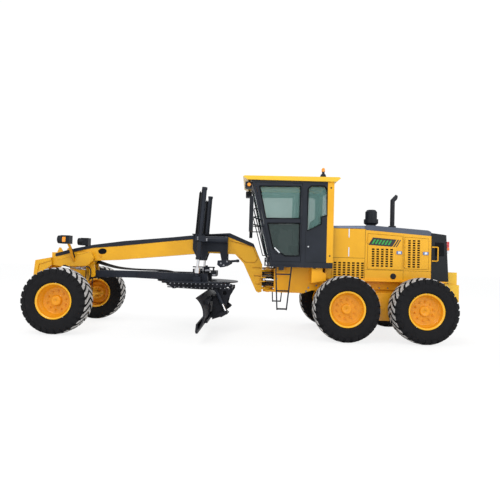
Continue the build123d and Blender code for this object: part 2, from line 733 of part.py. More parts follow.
def beacon():
    x, y = -1160, -400
    low = (Align.CENTER, Align.CENTER, Align.MIN)
    solid = bar((x, y, ROOF_TOP_Z - 10), (x, y, 3430), 64)
    solid += Pos(x, y, 3429) * Cone(64, 30, 62, align=low)
    solid += bar((x, y, 3490), (x, y, 3536), 26)
    solid += bar((x, y, 3535), (x, y, 3598), 38)
    solid += Pos(x, y, 3597) * Cone(38, 20, 22, align=low)
    return solid - CAB_ROOF


save("beacon", beacon())


def work_lamps():
    """Lamps under the roof's front edge."""
    lamps = []
    for y in (-620, 620):
        lamp = box(-2845, -2700, y - 110, y + 110, 3085, 3215)
        lamps.append(lamp + box(-2780, -2740, y - 20, y + 20, 3214, ROOF_Z))
    return Compound(children=lamps)


save("work_lamps", work_lamps())


def mirror_set():
    housing = box(-2742, -2662, 1060, 1250, 2137, 2828)
    for z0, z1 in ((2395, 2440), (2270, 2290)):
        housing += bar((front_x(z0) + 30, CAB_Y - 4, z0), (-2690, 1100, z1), 13)
    return housing


MIRROR = mirror_set() - CAB_SHELL
save("mirrors", Compound(children=[MIRROR, across(MIRROR)]))


LADDER_Y = (800.0, 842.0)
LADDER_STILES = (
    # x at the foot, x at the top
    (-2133.0, -2180.0),
    (-1941.0, -1856.0),
)
LADDER_Z = (560.0, 1444.0)
LADDER_RUNGS = (581.0, 952.0, 1294.0)
STILE_WIDE = 26.0
LEDGE_Z = 1443.0


def boarding_steps():
    """A ledge below the door with a tapered ladder under it, and a grab rail at its front."""
    side = box(-2235, -1800, CAB_Y + MOVE_GAP, 850, LEDGE_Z, LEDGE_Z + 25)
    side += box(-2100, -2000, CAB_Y - 60 + SEAT_GAP, LADDER_Y[0] + 1, 1380, LEDGE_Z - SEAT_GAP)
    side += box(-2100, -2000, CAB_Y + MOVE_GAP, LADDER_Y[1], 1380, LEDGE_Z + 1)
    z0, z1 = LADDER_Z
    for foot_x, top_x in LADDER_STILES:
        outline = [(foot_x, z0), (foot_x + STILE_WIDE, z0), (top_x + STILE_WIDE, z1), (top_x, z1)]
        side += slab(outline, *LADDER_Y)
    for z in LADDER_RUNGS:
        along = (z - z0) / (z1 - z0)
        x0, x1 = (foot + (top - foot) * along for foot, top in LADDER_STILES)
        side += box(x0 + 8, x1 + STILE_WIDE - 8, LADDER_Y[0] - 30, LADDER_Y[1] + 8, z - 13, z + 13)
    side += box(-2352, -2234, CAB_Y + 20, CAB_Y + 60, LEDGE_Z, LEDGE_Z + 25)
    side += bar((-2332, CAB_Y + 40, 1467), (-2332, CAB_Y + 40, 1640), 16)
    side += bar((-2332, CAB_Y + 40, 1624), (-2290, CAB_Y - 20, 1624), 16)
    return side


STEPS = boarding_steps() - CAB_SHELL
save("boarding_steps", Compound(children=[STEPS, across(STEPS)]))


# Front frame
BEAM_TOP = (
    (-7060.0, 1602.0), (-6617.0, 1718.0), (-6202.0, 1812.0), (-5507.0, 1917.0), (-4437.0, 2030.0),
    (-4059.0, 2077.0), (-3613.0, 2125.0), (-3167.0, 2158.0), (-2631.0, 1936.0), (-2440.0, 1502.0),
)
BEAM_EDGE = (
    (-7057.0, 1522.0), (-6615.0, 1646.0), (-6199.0, 1743.0), (-5670.0, 1793.0), (-4434.0, 1947.0),
    (-4056.0, 1987.0), (-3207.0, 2072.0), (-2606.0, 1845.0), (-2440.0, 1496.0),
)
BEAM_UNDER = (
    (-2427.0, 870.0), (-2500.0, 848.0), (-2551.0, 881.0), (-2846.0, 1491.0), (-3038.0, 1690.0),
    (-3600.0, 1700.0), (-4045.0, 1661.0), (-4423.0, 1619.0), (-5670.0, 1486.0), (-6160.0, 1458.0),
    (-6315.0, 1335.0), (-6889.0, 1318.0), (-7068.0, 1368.0),
)


GOOSE_RAISE = 9.0
GOOSE_PLATES = (
    ((-3165, 1905), (-2640, 1835), (-2536, 1597), (-2612, 1512), (-2790, 1512), (-2928, 1631)),
    ((-2649, 1408), (-2450, 1408), (-2450, 1424), (-2649, 1424)),
    ((-2618, 1233), (-2438, 1233), (-2438, 1249), (-2622, 1249)),
    ((-2583, 1047), (-2436, 1047), (-2436, 1063), (-2588, 1063)),
    ((-2535, 899), (-2436, 899), (-2436, 915), (-2540, 915)),
)


def front_frame():
    beam = slab(list(BEAM_EDGE) + [(-2427.0, 1490.0)] + list(BEAM_UNDER), -BEAM_Y, BEAM_Y)
    # The nose box is wider, and carries the push plate
    nose = slab([(-7068, 1345), (-6889, 1318), (-6300, 1340), (-6150, 1480), (-7057, 1500)], -NOSE_Y, NOSE_Y)
    solid = beam + nose
    cover = [(-7068, 1345), (-6300, 1345), (-6150, 1510), (-6215, 1640), (-7075, 1618)]
    solid += both(slab(cover, STRIP_Y + SEAT_GAP, NOSE_Y))
    solid += both(slab([(-6985, 1600), (-6935, 1728), (-6905, 1728), (-6830, 1605)], NOSE_Y - 60, NOSE_Y - 25))
    # Raised plates and ribs of the gooseneck
    for outline in GOOSE_PLATES:
        solid += both(slab(outline, BEAM_Y - 1, BEAM_Y + GOOSE_RAISE))
    plate = slab([(NOSE_X, 1066), (NOSE_X + 32, 1436), (-7060, 1505), (-7060, 1440), (NOSE_X + 110, 1350),
                  (NOSE_X + 70, 1066)], -330, 330)
    solid += plate
    spread_y, spread_z = PUSH_HOLES
    for y in (-spread_y / 2, spread_y / 2):
        for z in (PUSH_HOLES_Z - spread_z / 2, PUSH_HOLES_Z + spread_z / 2):
            solid -= bar((NOSE_X - 1, y, z), (NOSE_X + 120, y, z), PUSH_HOLE_R)
    for y in (-290, 290):
        solid += slab([(NOSE_X + 60, 1100), (NOSE_X + 60, 1400), (-7050, 1450), (-7050, 1340)], y - 20, y + 20)
    # Axle carrier below the nose
    solid += slab([(-6720, 1330), (-6314, 1340), (-6400, 900), (-6634, 900)], -160, 160)
    # Swivel bracket for the drawbar
    px, pz = DRAW_PIVOT
    for y in (-1, 1):
        y0, y1 = sorted((y * 98, y * 134))
        solid += slab([(px - 110, 1345), (px + 30, 1460), (px + 62, pz - 40), (px + 20, pz - 75), (px - 40, pz - 75),
                       (px - 70, pz - 30)], y0, y1)
    solid += bar((px, -124, pz), (px, 124, pz), DRAW_PIN_R)
    # Forks round the articulation rods' eyes
    fx, fy = ART_FRONT
    for z in (ART_Z - 52, ART_Z + 32):
        fork = bar((fx, fy, z), (fx, fy, z + 20), 44)
        fork += box(fx - 110, fx, BEAM_Y - 2, fy + 30, z, z + 20)
        solid += both(fork)
    # Hinge lugs at the rear
    for z in (HINGE_Z_LOW, HINGE_Z_HIGH):
        lug = bar((HINGE_X, 0, z - HINGE_LUG / 2), (HINGE_X, 0, z + HINGE_LUG / 2), HINGE_EYE_R - 5)
        lug += sheet([(HINGE_X, -HINGE_EYE_R + 5), (HINGE_X, HINGE_EYE_R - 5), (-2428, BEAM_Y - 5),
                      (-2428, -BEAM_Y + 5)], z - HINGE_LUG / 2, z + HINGE_LUG / 2)
        lug -= bar((HINGE_X, 0, z - 40), (HINGE_X, 0, z + 40), HINGE_PIN_R + PIN_GAP)
        solid += lug
    return solid


save("front_frame", front_frame())


def beam_cover():
    """The dark strip along the top of the beam, which covers the hydraulic lines."""
    upper = list(BEAM_TOP)
    lower = list(reversed(BEAM_EDGE))
    return slab(upper + lower, -STRIP_Y, STRIP_Y)


save("beam_cover", beam_cover())


def saddle():
    """The bracket across the gooseneck that carries the lift cylinders."""
    px, pz = LIFT_PIVOT
    outline = [(-3983, 2110), (-3201, 2119), (-3201, 1760), (-3204, 1414), (-3312, 1421), (-3376, 1730),
               (-3634, 1730), (-3700, 1530), (-3860, 1530), (-3983, 1780)]
    side = slab(outline, STRIP_Y + SEAT_GAP, STRIP_Y + 34)
    top = slab([(-3983, 2090), (-3201, 2099), (-3201, 2119), (-3983, 2110)], STRIP_Y + SEAT_GAP, 350)
    arm = box(px - 75, px + 75, STRIP_Y + 33, LIFT_Y - 150, pz - 62, pz + 62)
    fork = box(px - 75, px + 75, LIFT_Y - 152, LIFT_Y - 95, pz - 62, pz + 62)
    cheeks = box(px + 68, px + 98, LIFT_Y - 152, LIFT_Y + 60, pz - 62, pz + 62)
    cheeks += box(px - 98, px - 68, LIFT_Y - 152, LIFT_Y + 60, pz - 62, pz + 62)
    # Lock tube along the beam, with a leg back to the side plate
    tube_y, tube_z = LOCK_TUBE
    tube = bar((px + 60, tube_y, tube_z), (-3189, tube_y, tube_z), 74)
    leg = box(-3330, -3240, STRIP_Y + 33, tube_y, tube_z - 50, tube_z + 50)
    half = side + top + arm + fork + cheeks + tube + leg
    for x in (px - 98, px + 68):
        half -= bar((x - 2, LIFT_Y, pz), (x + 32, LIFT_Y, pz), 26 + PIN_GAP)
    return both(half)


save("saddle", saddle())


def lift_axis():
    """Unit direction down the lift cylinder, in X and Z."""
    dx, dz = LIFT_EYE[0] - LIFT_PIVOT[0], LIFT_EYE[1] - LIFT_PIVOT[1]
    length = hypot(dx, dz)
    return dx / length, dz / length, length


def lift_point(along, y=LIFT_Y):
    ux, uz, _ = lift_axis()
    return (LIFT_PIVOT[0] + ux * along, y, LIFT_PIVOT[1] + uz * along)


def lift_barrel():
    barrel = bar(lift_point(-LIFT_BARREL_UP), lift_point(LIFT_BARREL_DOWN), LIFT_BARREL_R)
    barrel += bar(lift_point(-58), lift_point(58), 60)
    px, pz = LIFT_PIVOT
    barrel += bar((px - 97, LIFT_Y, pz), (px + 97, LIFT_Y, pz), 26)
    barrel += bar(lift_point(LIFT_BARREL_DOWN - 60), lift_point(LIFT_BARREL_DOWN), 58)
    barrel += bar(lift_point(-LIFT_BARREL_UP), lift_point(-LIFT_BARREL_UP + 50), 58)
    bore = bar(lift_point(-LIFT_BARREL_UP + 60), lift_point(LIFT_BARREL_DOWN + 1), LIFT_ROD_R + PIN_GAP)
    return barrel - bore


def lift_rod():
    _, _, length = lift_axis()
    rod = bar(lift_point(length - LIFT_ROD_TUCK), lift_point(length - 90), LIFT_ROD_R)
    rod += bar(lift_point(length - 110), lift_point(length), 55)
    return rod


LIFT_BARREL = lift_barrel()
save("lift_barrels", Compound(children=[LIFT_BARREL, across(LIFT_BARREL)]))
save("lift_rod_right", lift_rod())
save("lift_rod_left", across(lift_rod()))


def headlamp(y):
    pole = bar((-6585, y * 0.44, 1500), (-6620, y, 1850), 26)
    lamp = bar((-6819, y, 1896), (-6690, y, 1896), 80) + box(-6720, -6572, y - 72, y + 72, 1820, 1972)
    return pole + lamp


FRONT_SOLID = front_frame() + beam_cover()
LAMPS = [headlamp(-500) - FRONT_SOLID, headlamp(500) - FRONT_SOLID]
save("headlamps", Compound(children=[s for lamp in LAMPS for s in lamp.solids() if s.volume > 100000]))


# Front axle and steering
def front_axle():
    x, end_y = FRONT_AXLE_X, AXLE_END_Y
    side = [(-end_y, 560), (-420, 640), (0, 680), (420, 640), (end_y, 560), (end_y, 780), (330, 880), (150, 895),
            (-150, 895), (-330, 880), (-end_y, 780)]
    beam = profile(side, x - AXLE_HALF, x + AXLE_HALF)
    # Fork plates above and below each knuckle
    for z0, z1 in FORK_Z:
        plate = bar((x, KING_Y, z0), (x, KING_Y, z1), FORK_R) + box(x - 56, x + 56, end_y - 20, KING_Y, z0, z1)
        beam += both(plate - bar((x, KING_Y, z0 - 1), (x, KING_Y, z1 + 1), KING_R + PIN_GAP))
    beam += box(x - 100, x + 100, -158, 158, 880, 899.8)
    # Steering ram behind the beam
    ram_x = x + STEER_ARM
    beam += bar((ram_x, -300, RAM_Z), (ram_x, 300, RAM_Z), 52, 24 + PIN_GAP)
    for y in (-200, 200):
        beam += box(x + AXLE_HALF - 10, ram_x - 30, y - 25, y + 25, RAM_Z - 12, RAM_Z + 60)
    return beam


save("front_axle", front_axle())


def knuckle():
    x = FRONT_AXLE_X
    (low0, low1), (high0, high1) = FORK_Z
    arm0, arm1 = STEER_ARM_Z
    solid = bar((x, KING_Y, low0 - 8), (x, KING_Y, high1 + 8), KING_R)
    solid += bar((x, KING_Y, low1 + MOVE_GAP), (x, KING_Y, high0 - MOVE_GAP), 70)
    solid += Pos(x, 0, AXLE_Z) * bar((0, KING_Y, 0), (0, KING_Y + 90, 0), 54)
    solid += Pos(x, 0, AXLE_Z) * spindle(KING_Y + 82, FRONT_DISH)
    solid += box(x, x + STEER_ARM, KING_Y - 22, KING_Y + 22, arm0, arm1)
    solid += bar((x + STEER_ARM, KING_Y, arm0), (x + STEER_ARM, KING_Y, arm1), 40)
    return solid


save("knuckle_right", knuckle())
save("knuckle_left", across(knuckle()))


def steering_rod():
    x = FRONT_AXLE_X + STEER_ARM
    half = bar((x, 0, RAM_Z), (x, KING_Y - 20, RAM_Z), 24)
    half += bar((x, KING_Y, STEER_ARM_Z[1] + MOVE_GAP), (x, KING_Y, RAM_Z + 30), 38)
    return both(half)


save("steering_rod", steering_rod())


# Drawbar: a swivel eye, a box beam and two arms down to the circle's deck
def drawbar():
    px, pz = DRAW_PIVOT
    solid = bar((px, -92, pz), (px, 92, pz), 78)
    wedge = [(px + 10, pz - 60), (px + 300, DRAW_BEAM_Z0), (px + 300, DRAW_BEAM_Z1), (px + 10, pz + 70)]
    solid += slab(wedge, -88, 88)
    outline = [(px + 250, -88), (px + 250, 88), (-5250, 130), (-4520, 520), (-4440, 520), (-4440, 330),
               (-5000, 0), (-4440, -330), (-4440, -520), (-4520, -520), (-5250, -130)]
    solid += sheet(outline, DRAW_BEAM_Z0 + 14, DRAW_BEAM_Z1)
    deck = bar((CIRCLE_X, 0, DECK_Z0), (CIRCLE_X, 0, DECK_Z1), DECK_R)
    deck -= bar((CIRCLE_X, 0, DECK_Z0 - 1), (CIRCLE_X, 0, DECK_Z1 + 1), 430)
    for y in (-1, 1):
        y0, y1 = sorted((y * 520, y * 380))
        deck += box(-4460, CIRCLE_X + 260, y0, y1, DECK_Z1 - 1, DRAW_BEAM_Z1)
    deck += box(CIRCLE_X - 30, CIRCLE_X + 130, -640, 640, DECK_Z1 - 1, DRAW_BEAM_Z1 - 60)
    deck += box(CIRCLE_X - 10, CIRCLE_X + 110, -150, 150, DRAW_BEAM_Z1 - 61, DRAW_BEAM_Z1 + 50)
    solid += deck
    # Ball stands under the lift rods
    ex, ez = LIFT_EYE
    for y in (-LIFT_Y, LIFT_Y):
        solid += box(CIRCLE_X - 30, CIRCLE_X + 130, y - 60, y + 60, DECK_Z1 - 1, DRAW_BEAM_Z1 - 60)
        solid += bar((ex, y, DRAW_BEAM_Z1 - 62), (ex, y, ez - 60), 24)
        solid += Pos(ex, y, ez - 14 - BALL_R) * Sphere(BALL_R)
    # Drive gearbox at the front of the circle
    solid += box(-4740, -4560, -100, 100, DECK_Z0 + 1, DRAW_BEAM_Z1 + 20)
    pinion_x = CIRCLE_X - CIRCLE_R - TOOTH_OUT - MOVE_GAP - PINION_R
    solid += bar((pinion_x, 0, RING_Z0), (pinion_x, 0, DECK_Z0 + 1), PINION_R)
    # Guide shoes that hook under the ring
    for angle in (45, 135, 225, 315):
        shoe = box(SHOE_R, RING_R0 - 8, -60, 60, RING_Z0 - 24, DECK_Z0 + 1)
        shoe += box(SHOE_R, SKIRT_R0 - 10, -60, 60, RING_Z0 - 24, RING_Z0 - PIN_GAP)
        solid += Pos(CIRCLE_X, 0, 0) * Rot(0, 0, angle) * shoe
    solid -= bar((px, -200, pz), (px, 200, pz), DRAW_PIN_R + PIN_GAP)
    return solid


save("drawbar", drawbar())


def circle():
    """The toothed ring with the two arms that carry the blade."""
    ring = bar((CIRCLE_X, 0, RING_Z0), (CIRCLE_X, 0, RING_Z1), CIRCLE_R, RING_R0)
    ring += bar((CIRCLE_X, 0, SIDE_Z1 - 1), (CIRCLE_X, 0, RING_Z0 + 1), CIRCLE_R - 3, SKIRT_R0)
    teeth = []
    for step in range(TOOTH_COUNT):
        tooth = Pos(CIRCLE_R, 0, (RING_Z0 + RING_Z1) / 2) * Box(2 * TOOTH_OUT, 34, RING_Z1 - RING_Z0 - 4)
        teeth.append(Pos(CIRCLE_X, 0, 0) * Rot(0, 0, 360 * step / TOOTH_COUNT) * tooth)
    ring = ring.fuse(*teeth)
    tx, tz = TIP_PIVOT
    outline = [(-4430, 945), (-4430, SIDE_Z1), (-3046, SIDE_Z1), (-3046, 889), (-3150, 720),
               (tx + 110, tz + 120), (tx + 75, tz - 10), (tx + 40, tz - 70), (tx - 40, tz - 70),
               (tx - 75, tz + 20), (tx - 80, 620), (-3390, 830), (-3420, 905), (-3480, 918), (-3715, 918)]
    arm = slab(outline, ARM_Y0, ARM_Y0 + ARM_WALL)
    for x in (-4230, -4080, -3930):
        arm -= bar((x, ARM_Y0 - 1, 948), (x, ARM_Y0 + ARM_WALL + 1, 948), 9)
    arm -= bar((-3215, ARM_Y0 - 1, 860), (-3215, ARM_Y0 + ARM_WALL + 1, 860), 45)
    arm -= bar((tx, ARM_Y0 - 2, tz), (tx, ARM_Y0 + ARM_WALL + 2, tz), TIP_PIN_R + PIN_GAP)
    ring += both(arm)
    for x in (-4330, -3520, -3140):
        ring += box(x, x + 60, -ARM_Y0 - 1, ARM_Y0 + 1, SIDE_Z1 - 44, SIDE_Z1)
    # Pin for the tip cylinder's barrel, on the left arm
    px, pz = TIP_TOP
    arm_y = -(ARM_Y0 + ARM_WALL)
    ring += bar((px, arm_y + 1, pz), (px, TIP_Y + 22, pz), 38)
    ring += bar((px, arm_y + 1, pz), (px, TIP_Y - 24, pz), 20)
    return ring


save("circle", circle())

# Mouldboard: one plate rolled to an arc, its concave face to the front
BLADE_TOP = (-3643.0, 851.0)
BLADE_DEEP = (-3496.0, 568.0)
BLADE_LOW = (-3598.0, 276.0)
RAILS = ((707.0, 767.0), (354.0, 414.0))
RAIL_FACE_X = -3473.0
RAIL_HALF = 1500.0
EDGE_RISE = 104.0
EDGE_DROP = 65.0


def blade_arc(offset):
    """Top, middle and low points of the plate's face, moved back by an offset."""
    return [(x + offset, z) for x, z in (BLADE_TOP, BLADE_DEEP, BLADE_LOW)]


def mouldboard():
    front = blade_arc(-BLADE_WALL)
    back = blade_arc(0)
    wire = [ThreePointArc(front[0], front[1], front[2]), Line(front[2], back[2]),
            ThreePointArc(back[2], back[1], back[0]), Line(back[0], front[0])]
    face = Plane.XZ.offset(-BLADE_HALF) * make_face(wire)
    plate = extrude(face, amount=2 * BLADE_HALF, dir=(0, -1, 0))
    # Slide rails on the back
    for z0, z1 in RAILS:
        plate += box(RAIL_FACE_X - 62, RAIL_FACE_X, -RAIL_HALF, RAIL_HALF, z0, z1)
    return plate


MOULDBOARD = mouldboard()
save("mouldboard", MOULDBOARD)


def cutting_edge():
    x, z = BLADE_LOW
    front = x - BLADE_WALL - EDGE_WALL
    outline = [(front, z + EDGE_RISE), (front + 30, z + EDGE_RISE), (x - 12, z - EDGE_DROP),
               (x - 43, z - EDGE_DROP), (x - 58, z - EDGE_DROP + 33)]
    return slab(outline, -BLADE_HALF, BLADE_HALF) - MOULDBOARD


save("cutting_edge", cutting_edge())


def blade_carrier():
    """The tipping bracket: rail seats in front, the cylinder's horn behind."""
    tx, tz = TIP_PIVOT
    inner = ARM_Y0 - MOVE_GAP
    front, top, foot = RAIL_FACE_X + 20, RAILS[0][1] + 33, RAILS[1][0] - 39
    outline = [(front, top), (front + 55, top - 10), (tx + 40, tz + 60), (tx + 150, tz + 75),
               (tx + 165, tz + 20), (tx + 60, tz - 60), (front, foot)]
    cheek = slab(outline, inner - 50, inner)
    # Jaws round the two rails
    for z0, z1 in RAILS:
        for low, high in ((z1 + PIN_GAP, z1 + 28), (z0 - 28, z0 - PIN_GAP)):
            cheek += box(RAIL_FACE_X - 26, RAIL_FACE_X + 32, inner - 110, inner, low, high)
        cheek += box(RAIL_FACE_X + MOVE_GAP, RAIL_FACE_X + 40, inner - 110, inner, z0 - 28, z1 + 28)
    cheek += bar((tx, inner - 1, tz), (tx, ARM_Y0 + ARM_WALL + 12, tz), TIP_PIN_R)
    solid = both(cheek)
    solid += bar((tx + 30, -inner + 1, tz - 15), (tx + 30, inner - 1, tz - 15), 40)
    # Lever on the left pin, outside the arm, with the tip cylinder's eye between its plates
    near, far = TIP_LUG
    lever = [(tx - 34, tz + 4), (tx - 24, tz - 26), (tx + 10, tz - 36), (tx + 110, tz - 14),
             (tx + 165, tz + 30), (tx + 140, tz + 84), (tx - 6, tz + 36)]
    solid += bar((tx, TIP_Y - far, tz), (tx, -ARM_Y0, tz), TIP_PIN_R)
    for y in (TIP_Y - far, TIP_Y + near):
        solid += slab(lever, y, y + far - near)
    return solid


save("blade_carrier", blade_carrier())

# Tip cylinder outside the left arm, from the circle down to the carrier's lever
def tip_parts():
    dx, dz = TIP_EYE[0] - TIP_TOP[0], TIP_EYE[1] - TIP_TOP[1]
    length = hypot(dx, dz)
    ux, uz = dx / length, dz / length

    def at(s):
        return (TIP_TOP[0] + ux * s, TIP_Y, TIP_TOP[1] + uz * s)

    neck = Plane(origin=at(0), x_dir=(0, 1, 0), z_dir=(ux, 0, uz))
    barrel = bar(at(75), at(330), 40)
    barrel += neck * Box(27, 48, 76, align=(Align.CENTER, Align.CENTER, Align.MIN))
    barrel += bar((TIP_TOP[0], TIP_Y - 14, TIP_TOP[1]), (TIP_TOP[0], TIP_Y + 14, TIP_TOP[1]), 36)
    barrel -= bar((TIP_TOP[0], TIP_Y - 30, TIP_TOP[1]), (TIP_TOP[0], TIP_Y + 30, TIP_TOP[1]), 20 + PIN_GAP)
    barrel -= bar(at(90), at(331), 23 + PIN_GAP)
    rod = bar(at(195), at(length - 30), 23)
    rod += bar((TIP_EYE[0], TIP_Y - 24, TIP_EYE[1]), (TIP_EYE[0], TIP_Y + 24, TIP_EYE[1]), 38)
    return barrel, rod


TIP_BARREL, TIP_ROD = tip_parts()
save("tip_barrel", TIP_BARREL)
save("tip_rod", TIP_ROD)

# Articulation cylinders, one each side of the hinge
def articulation_parts():
    a = Vector(ART_REAR[0], ART_REAR[1], ART_Z)
    b = Vector(ART_FRONT[0], ART_FRONT[1], ART_Z)
    u = (b - a).normalized()
    barrel = bar(tuple(a), tuple(a + u * 420), 46)
    for z0, z1 in ((26, 60), (-60, -26)):
        barrel -= box(a.X - 60, a.X + 60, a.Y - 70, a.Y + 70, ART_Z + z0, ART_Z + z1)
    barrel += bar(tuple(a + Vector(0, 0, -26)), tuple(a + Vector(0, 0, 26)), 46)
    barrel -= bar(tuple(a + Vector(0, 0, -30)), tuple(a + Vector(0, 0, 30)), 22 + PIN_GAP)
    barrel -= bar(tuple(a + u * 80), tuple(a + u * 421), 24 + PIN_GAP)
    rod = bar(tuple(a + u * 190), tuple(b - u * 20), 24)
    rod += bar(tuple(b + Vector(0, 0, -22)), tuple(b + Vector(0, 0, 22)), 40)
    return barrel, rod


ART_BARREL, ART_ROD = articulation_parts()
save("articulation_barrel_right", ART_BARREL)
save("articulation_barrel_left", across(ART_BARREL))
save("articulation_rod_right", ART_ROD)
save("articulation_rod_left", across(ART_ROD))
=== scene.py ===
"""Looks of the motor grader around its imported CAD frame.

Lengths in the tables are millimetres from the tandem pivot, as in the part's
source, and at() turns them into metres in the row frame. Pieces that stand on
both sides are given once, and hand (-1 left, 1 right) sets their side.
"""
import math

import bmesh
import bpy
from mathutils import Matrix, Vector


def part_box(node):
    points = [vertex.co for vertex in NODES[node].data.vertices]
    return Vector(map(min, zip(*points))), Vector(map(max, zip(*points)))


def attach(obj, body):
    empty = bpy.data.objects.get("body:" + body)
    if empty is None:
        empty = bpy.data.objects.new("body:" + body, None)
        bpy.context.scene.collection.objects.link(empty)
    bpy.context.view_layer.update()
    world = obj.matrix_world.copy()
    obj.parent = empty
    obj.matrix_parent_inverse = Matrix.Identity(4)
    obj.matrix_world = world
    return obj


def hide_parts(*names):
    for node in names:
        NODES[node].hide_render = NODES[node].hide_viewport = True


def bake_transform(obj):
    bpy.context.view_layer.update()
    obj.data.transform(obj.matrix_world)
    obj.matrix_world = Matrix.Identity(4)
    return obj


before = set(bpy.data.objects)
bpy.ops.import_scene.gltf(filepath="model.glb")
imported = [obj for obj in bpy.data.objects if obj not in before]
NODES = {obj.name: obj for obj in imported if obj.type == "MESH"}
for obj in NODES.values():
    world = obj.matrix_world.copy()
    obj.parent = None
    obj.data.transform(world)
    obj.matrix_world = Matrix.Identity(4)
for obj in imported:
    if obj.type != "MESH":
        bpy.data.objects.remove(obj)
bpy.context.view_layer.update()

# Driving places, as in the part's source
SHIFT_X = 2811.5
SIDES = (("left", -1), ("right", 1))
TRACK_Y = 1078.0
WHEELS = (("front", -6517.0), ("middle", -771.0), ("rear", 771.0))
AXLE_Z = 0.5 * (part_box("rim_rear_left")[1].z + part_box("rim_rear_left")[0].z) * 1000

# Distances of side faces from the middle
HOOD_Y = 600.0
LATCH_Y = 614.2
CAB_Y = 760.0
FRAME_Y = 450.0
RAIL_Y = 490.0
NOSE_Y = 250.0
BEAM_Y = 149.0
LAMP_Y = 500.0
LEAN_RAM_Y = 300.0
DECK_Y = 770.0
CIRCLE_Y = 621.2

# The lift cylinders' axis: its place, and how it leans
LIFT_Y = 620
LIFT_PIVOT = (-3769, 2000)
LIFT_RUN = 44
LIFT_FALL = 738


def at(x, y, z):
    """A place in the row frame, in metres."""
    return Vector(((x + SHIFT_X) / 1000, y / 1000, z / 1000))


def lift_x(z):
    """Place of a lift cylinder's axis at a height."""
    return LIFT_PIVOT[0] + LIFT_RUN * (z - LIFT_PIVOT[1]) / LIFT_FALL


def flank(hand, near, far):
    """The span in Y between two distances from the middle, on one side."""
    return sorted((hand * near, hand * far))


def mirrored(points, hand):
    """Points given for the right side, put on either side."""
    return [(x, hand * y, z) for x, y, z in points]


def traced(outline, hand, y):
    """An outline in X and Z, laid at a distance from the middle."""
    return [(x, hand * y, z) for x, z in outline]


# Materials: each one's colour, roughness and how it varies
RELIEF_DEPTH = 0.002
DUST_SHARE = 0.55
DUST_SCALE, DUST_DETAIL = 11.0, 8.0
DARKER = 0.86
NOISE_DETAIL, NOISE_ROUGHNESS = 6.0, 0.6
GRAIN_DETAIL = 4.0
COAT_ROUGHNESS = 0.08


def set_inputs(node, **values):
    """Sets a node's inputs by name, with _ for a space."""
    for name, value in values.items():
        node.inputs[name.replace("_", " ")].default_value = value


def add_node(tree, kind, **values):
    """A new shader node with values for its inputs."""
    node = tree.nodes.new("ShaderNode" + kind)
    set_inputs(node, **values)
    return node


def add_noise(tree, coords, scale, detail):
    """A noise texture in object space."""
    noise = add_node(tree, "TexNoise", Scale=scale, Detail=detail)
    tree.links.new(coords.outputs["Object"], noise.inputs["Vector"])
    return noise


def ranged_height(tree, coords, **values):
    """A map of the height in object space."""
    split = add_node(tree, "SeparateXYZ")
    ranged = add_node(tree, "MapRange", **values)
    tree.links.new(coords.outputs["Object"], split.inputs["Vector"])
    tree.links.new(split.outputs["Z"], ranged.inputs["Value"])
    return ranged


def add_math(tree, operation):
    """A math node."""
    node = add_node(tree, "Math")
    node.operation = operation
    return node


def colour_mix(tree):
    """A node that mixes two colours."""
    mix = add_node(tree, "Mix")
    mix.data_type = "RGBA"
    return mix


def add_relief(tree, height, strength):
    """Fine relief on a shader, from a height signal."""
    relief = add_node(tree, "Bump", Strength=strength, Distance=RELIEF_DEPTH)
    tree.links.new(height, relief.inputs["Height"])
    tree.links.new(relief.outputs["Normal"], tree.nodes["Principled BSDF"].inputs["Normal"])


def dusted(tree, coords, colour, dust, top):
    """A colour with dust that thins out up to a height."""
    link = tree.links.new
    span = ranged_height(tree, coords, From_Min=0.0, From_Max=top, To_Min=DUST_SHARE, To_Max=0.0)
    fine = add_noise(tree, coords, DUST_SCALE, DUST_DETAIL)
    times = add_math(tree, "MULTIPLY")
    link(span.outputs["Result"], times.inputs[0])
    link(fine.outputs["Fac"], times.inputs[1])
    mix = colour_mix(tree)
    link(times.outputs["Value"], mix.inputs["Factor"])
    link(colour, mix.inputs["A"])
    mix.inputs["B"].default_value = (*dust, 1)
    return mix.outputs["Result"]


def material(name, colour, rough, metal=0.0, dark=None, scale=6.0, amount=0.35, bump=0.0, bump_scale=60.0,
             alpha=1.0, spread=0.12, coat=0.0, dirt=None, dirt_top=0.0, shine=0.5):
    """A shader whose colour, roughness and relief vary with noise in object space."""
    mat = bpy.data.materials.new(name)
    mat.use_nodes = True
    tree = mat.node_tree
    link = tree.links.new
    bsdf = tree.nodes["Principled BSDF"]
    set_inputs(bsdf, Metallic=metal, Alpha=alpha, Specular_IOR_Level=shine)
    if coat:
        set_inputs(bsdf, Coat_Weight=coat, Coat_Roughness=COAT_ROUGHNESS)
    coords = add_node(tree, "TexCoord")
    noise = add_noise(tree, coords, scale, NOISE_DETAIL)
    set_inputs(noise, Roughness=NOISE_ROUGHNESS)
    ramp = add_node(tree, "ValToRGB")
    low, high = ramp.color_ramp.elements
    low.position = 0.5 - amount / 2
    high.position = 0.5 + amount / 2
    low.color = (*(dark or tuple(c * DARKER for c in colour)), 1)
    high.color = (*colour, 1)
    link(noise.outputs["Fac"], ramp.inputs["Fac"])
    out = ramp.outputs["Color"]
    if dirt:
        out = dusted(tree, coords, out, dirt, dirt_top)
    link(out, bsdf.inputs["Base Color"])
    rough_map = add_node(tree, "MapRange", To_Min=max(0.02, rough - spread), To_Max=min(1.0, rough + spread))
    link(noise.outputs["Fac"], rough_map.inputs["Value"])
    link(rough_map.outputs["Result"], bsdf.inputs["Roughness"])
    if bump:
        add_relief(tree, add_noise(tree, coords, bump_scale, GRAIN_DETAIL).outputs["Fac"], bump)
    return mat


